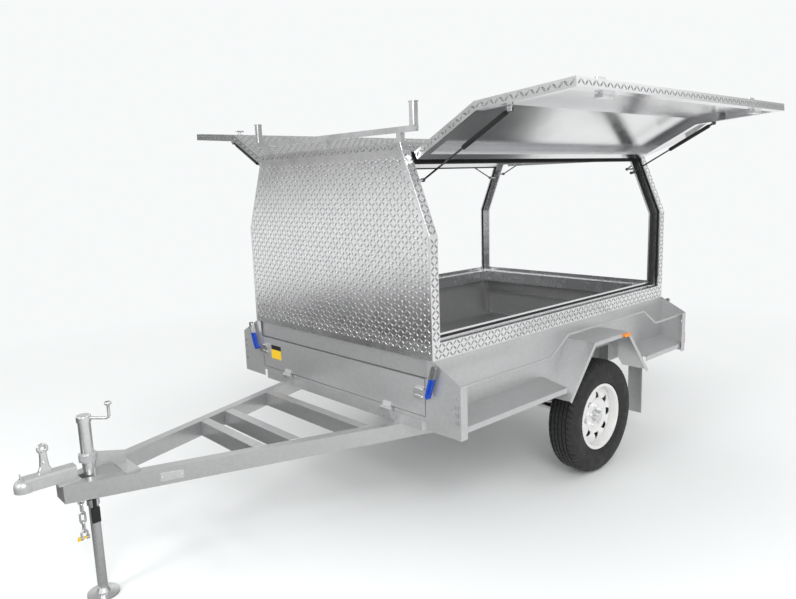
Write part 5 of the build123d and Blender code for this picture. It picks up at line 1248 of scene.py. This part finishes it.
# %% Corner wings and gate sills
TUB_TOP = float(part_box("tub_headers")[1][2])
HEADER_LOW = float(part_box("tub_headers")[0][2])
HEADER_HALF = float(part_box("tub_headers")[1][1])
FLOOR_TOP = float(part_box("tub_floor")[1][2])
GATE_LOW = 0.610
GATE_HALF = 0.693
wing = (HALF - HEADER_HALF, TUB_TOP - HEADER_LOW)
sill = (2 * GATE_HALF, GATE_LOW - FLOOR_TOP)
for end_x, facing, where in ((FRONT_X, 1, "front"), (REAR_X, -1, "rear")):
    zinc_sheet = ((facing, 0, 0), (0, 1, 0), GALVANISED, ROOT, "galvanised_steel", SHEET)
    for side in (1, -1):
        wing_y, wing_z = side * (HALF + HEADER_HALF) / 2, (TUB_TOP + HEADER_LOW) / 2
        name = "corner_wing_" + where + ("_left" if side > 0 else "_right")
        plate(name, (end_x - facing * SHEET, wing_y, wing_z), wing, *zinc_sheet)
    sill_place = (end_x - facing * 2 * SHEET, 0, (GATE_LOW + FLOOR_TOP) / 2)
    plate("gate_sill_" + where, sill_place, sill, *zinc_sheet)

# %% [markdown]
# ## Floor
# The photograph is a cut-out on near white. A pale floor keeps a soft shadow under the tyres. To
# the camera it fades into the background colour a few metres out, so there is no horizon. To the
# metal it shows a dark patch on one side, which gives the front panel its dark lower part.

# %% Pale floor
BACKGROUND = (0.93, 0.95, 0.95)
FLOOR_REACH = 60.0
DARK_SPOT = (3.6, -2.6, 0.0)
floor_mesh = bpy.data.meshes.new("floor")
floor_corners = [(-1, -1), (1, -1), (1, 1), (-1, 1)]
floor_points = [(x * FLOOR_REACH, y * FLOOR_REACH, 0) for x, y in floor_corners]
floor_mesh.from_pydata(floor_points, [], [(0, 1, 2, 3)])
floor = bpy.data.objects.new("floor", floor_mesh)
bpy.context.scene.collection.objects.link(floor)
pale = Finish("pale_floor", BACKGROUND, 0.0, 1.0)
pale.shader.inputs["Specular IOR Level"].default_value = 0.0


def share_from(centre, reach):
    """Distance on the floor from a centre, as a share of a reach."""
    distance = pale.tree.nodes.new("ShaderNodeVectorMath")
    distance.operation = "DISTANCE"
    distance.inputs[1].default_value = centre
    pale.link(pale.coordinates.outputs["Object"], distance.inputs[0])
    share = pale.node("ShaderNodeMapRange")
    share.inputs["From Max"].default_value = reach
    pale.link(distance.outputs["Value"], share.inputs["Value"])
    return share.outputs["Result"]


DARK_REACH = 6.0
FADE_REACH = 12.0
# Share of the reach, and brightness there
DARK_STEPS = [(0.0, 0.06), (0.40, 0.12), (0.58, 0.45), (0.80, 0.92)]
reflected = pale.ramp(share_from(DARK_SPOT, DARK_REACH), DARK_STEPS)
fading = pale.ramp(share_from((0, 0, 0), FADE_REACH), [(0.25, 0.0), (0.50, 1.0)])
glow = pale.tree.nodes.new("ShaderNodeEmission")
pale.link(reflected, glow.inputs["Color"])
background = pale.tree.nodes.new("ShaderNodeEmission")
background.inputs["Color"].default_value = (*BACKGROUND, 1)
ray = pale.tree.nodes.new("ShaderNodeLightPath")
seen_far = pale.tree.nodes.new("ShaderNodeMath")
seen_far.operation = "MULTIPLY"
pale.link(ray.outputs["Is Camera Ray"], seen_far.inputs[0])
pale.link(fading, seen_far.inputs[1])


def either(tree, share, first, second):
    """A mix of two shaders or backgrounds by a share: the second one where it is 1."""
    mix = tree.nodes.new("ShaderNodeMixShader")
    for source, target in zip((share, first, second), mix.inputs):
        tree.links.new(source, target)
    return mix.outputs[0]


near = pale.shader.outputs["BSDF"]
by_distance = either(pale.tree, seen_far.outputs["Value"], near, background.outputs[0])
by_ray = either(pale.tree, ray.outputs["Is Glossy Ray"], by_distance, glow.outputs[0])
pale.link(by_ray, pale.tree.nodes["Material Output"].inputs["Surface"])
floor.data.materials.append(pale.material)
print("floor fades out by", 0.5 * FADE_REACH, "m")

# %% [markdown]
# ## World
# Matt surfaces get an even grey light. The camera sees the background colour. Mirrored rays see
# bands of light and dark by height, broken by a slow pattern round the room, because bare metal
# in an evenly white room looks like white plastic.

# %% World
EVEN_LIGHT = 0.84
ROUND_SCALE = 1.6
world = bpy.data.worlds.new("world")
world.use_nodes = True
bpy.context.scene.world = world
tree = world.node_tree
even = tree.nodes["Background"]
even.inputs["Color"].default_value = (1, 1, 1, 1)
even.inputs["Strength"].default_value = EVEN_LIGHT
shown = tree.nodes.new("ShaderNodeBackground")
shown.inputs["Color"].default_value = (*BACKGROUND, 1)
coordinates = tree.nodes.new("ShaderNodeTexCoord")
split = tree.nodes.new("ShaderNodeSeparateXYZ")
tree.links.new(coordinates.outputs["Generated"], split.inputs["Vector"])
height_bands = tree.nodes.new("ShaderNodeValToRGB")
# Share of the way up from the horizon, and brightness there
BANDS = [
    (0.0, 0.95), (0.02, 0.22), (0.12, 0.26), (0.20, 1.15),
    (0.42, 1.2), (0.54, 0.5), (0.72, 0.6), (0.85, 0.9),
]
elements = height_bands.color_ramp.elements
while len(elements) < len(BANDS):
    elements.new(0.5)
for element, (position, shade) in zip(elements, BANDS):
    element.position = position
    element.color = (shade, shade, shade, 1)
tree.links.new(split.outputs["Z"], height_bands.inputs["Fac"])
round_bands = tree.nodes.new("ShaderNodeTexNoise")
round_bands.inputs["Scale"].default_value = ROUND_SCALE
round_bands.inputs["Detail"].default_value = 0.5
tree.links.new(coordinates.outputs["Generated"], round_bands.inputs["Vector"])
contrast = tree.nodes.new("ShaderNodeMapRange")
for key, value in {"From Min": 0.35, "From Max": 0.65, "To Min": 0.5, "To Max": 1.25}.items():
    contrast.inputs[key].default_value = value
tree.links.new(round_bands.outputs["Fac"], contrast.inputs["Value"])
mirrored = tree.nodes.new("ShaderNodeBackground")
tree.links.new(height_bands.outputs["Color"], mirrored.inputs["Color"])
tree.links.new(contrast.outputs["Result"], mirrored.inputs["Strength"])
path = tree.nodes.new("ShaderNodeLightPath")
by_glossy = either(tree, path.outputs["Is Glossy Ray"], even.outputs[0], mirrored.outputs[0])
by_camera = either(tree, path.outputs["Is Camera Ray"], by_glossy, shown.outputs[0])
tree.links.new(by_camera, tree.nodes["World Output"].inputs["Surface"])
bpy.context.scene.view_settings.view_transform = "Standard"
print("world has", len(tree.nodes), "nodes")

# %% [markdown]
# ## Lamps
# Three large lamps stand for a studio's softboxes: the key from the left front, the fill ahead of
# the front panel and a weak one above. Large lamps give metal broad soft highlights, where small
# ones would give hot dots.


# %% Lamps
def softbox(name, place, target, size, power):
    """A rectangular area lamp at a place, aimed at a target."""
    data = bpy.data.lights.new(name, "AREA")
    data.shape = "RECTANGLE"
    data.size, data.size_y = size
    data.energy = power
    lamp = bpy.data.objects.new(name, data)
    bpy.context.scene.collection.objects.link(lamp)
    lamp.location = place
    lamp.rotation_euler = (Vector(target) - Vector(place)).to_track_quat("-Z", "Y").to_euler()
    print(name, "lamp of", power, "W")


softbox("key", (3.5, 4.5, 4.0), (0, 0, 0.8), (2.5, 2.5), 140)
softbox("fill", (6.5, 0.8, 3.4), (0.5, 0, 0.8), (1.5, 3.0), 80)
softbox("top", (-1.0, 0.5, 5.5), (-0.5, 0, 1.0), (3.0, 2.0), 45)

# %% [markdown]
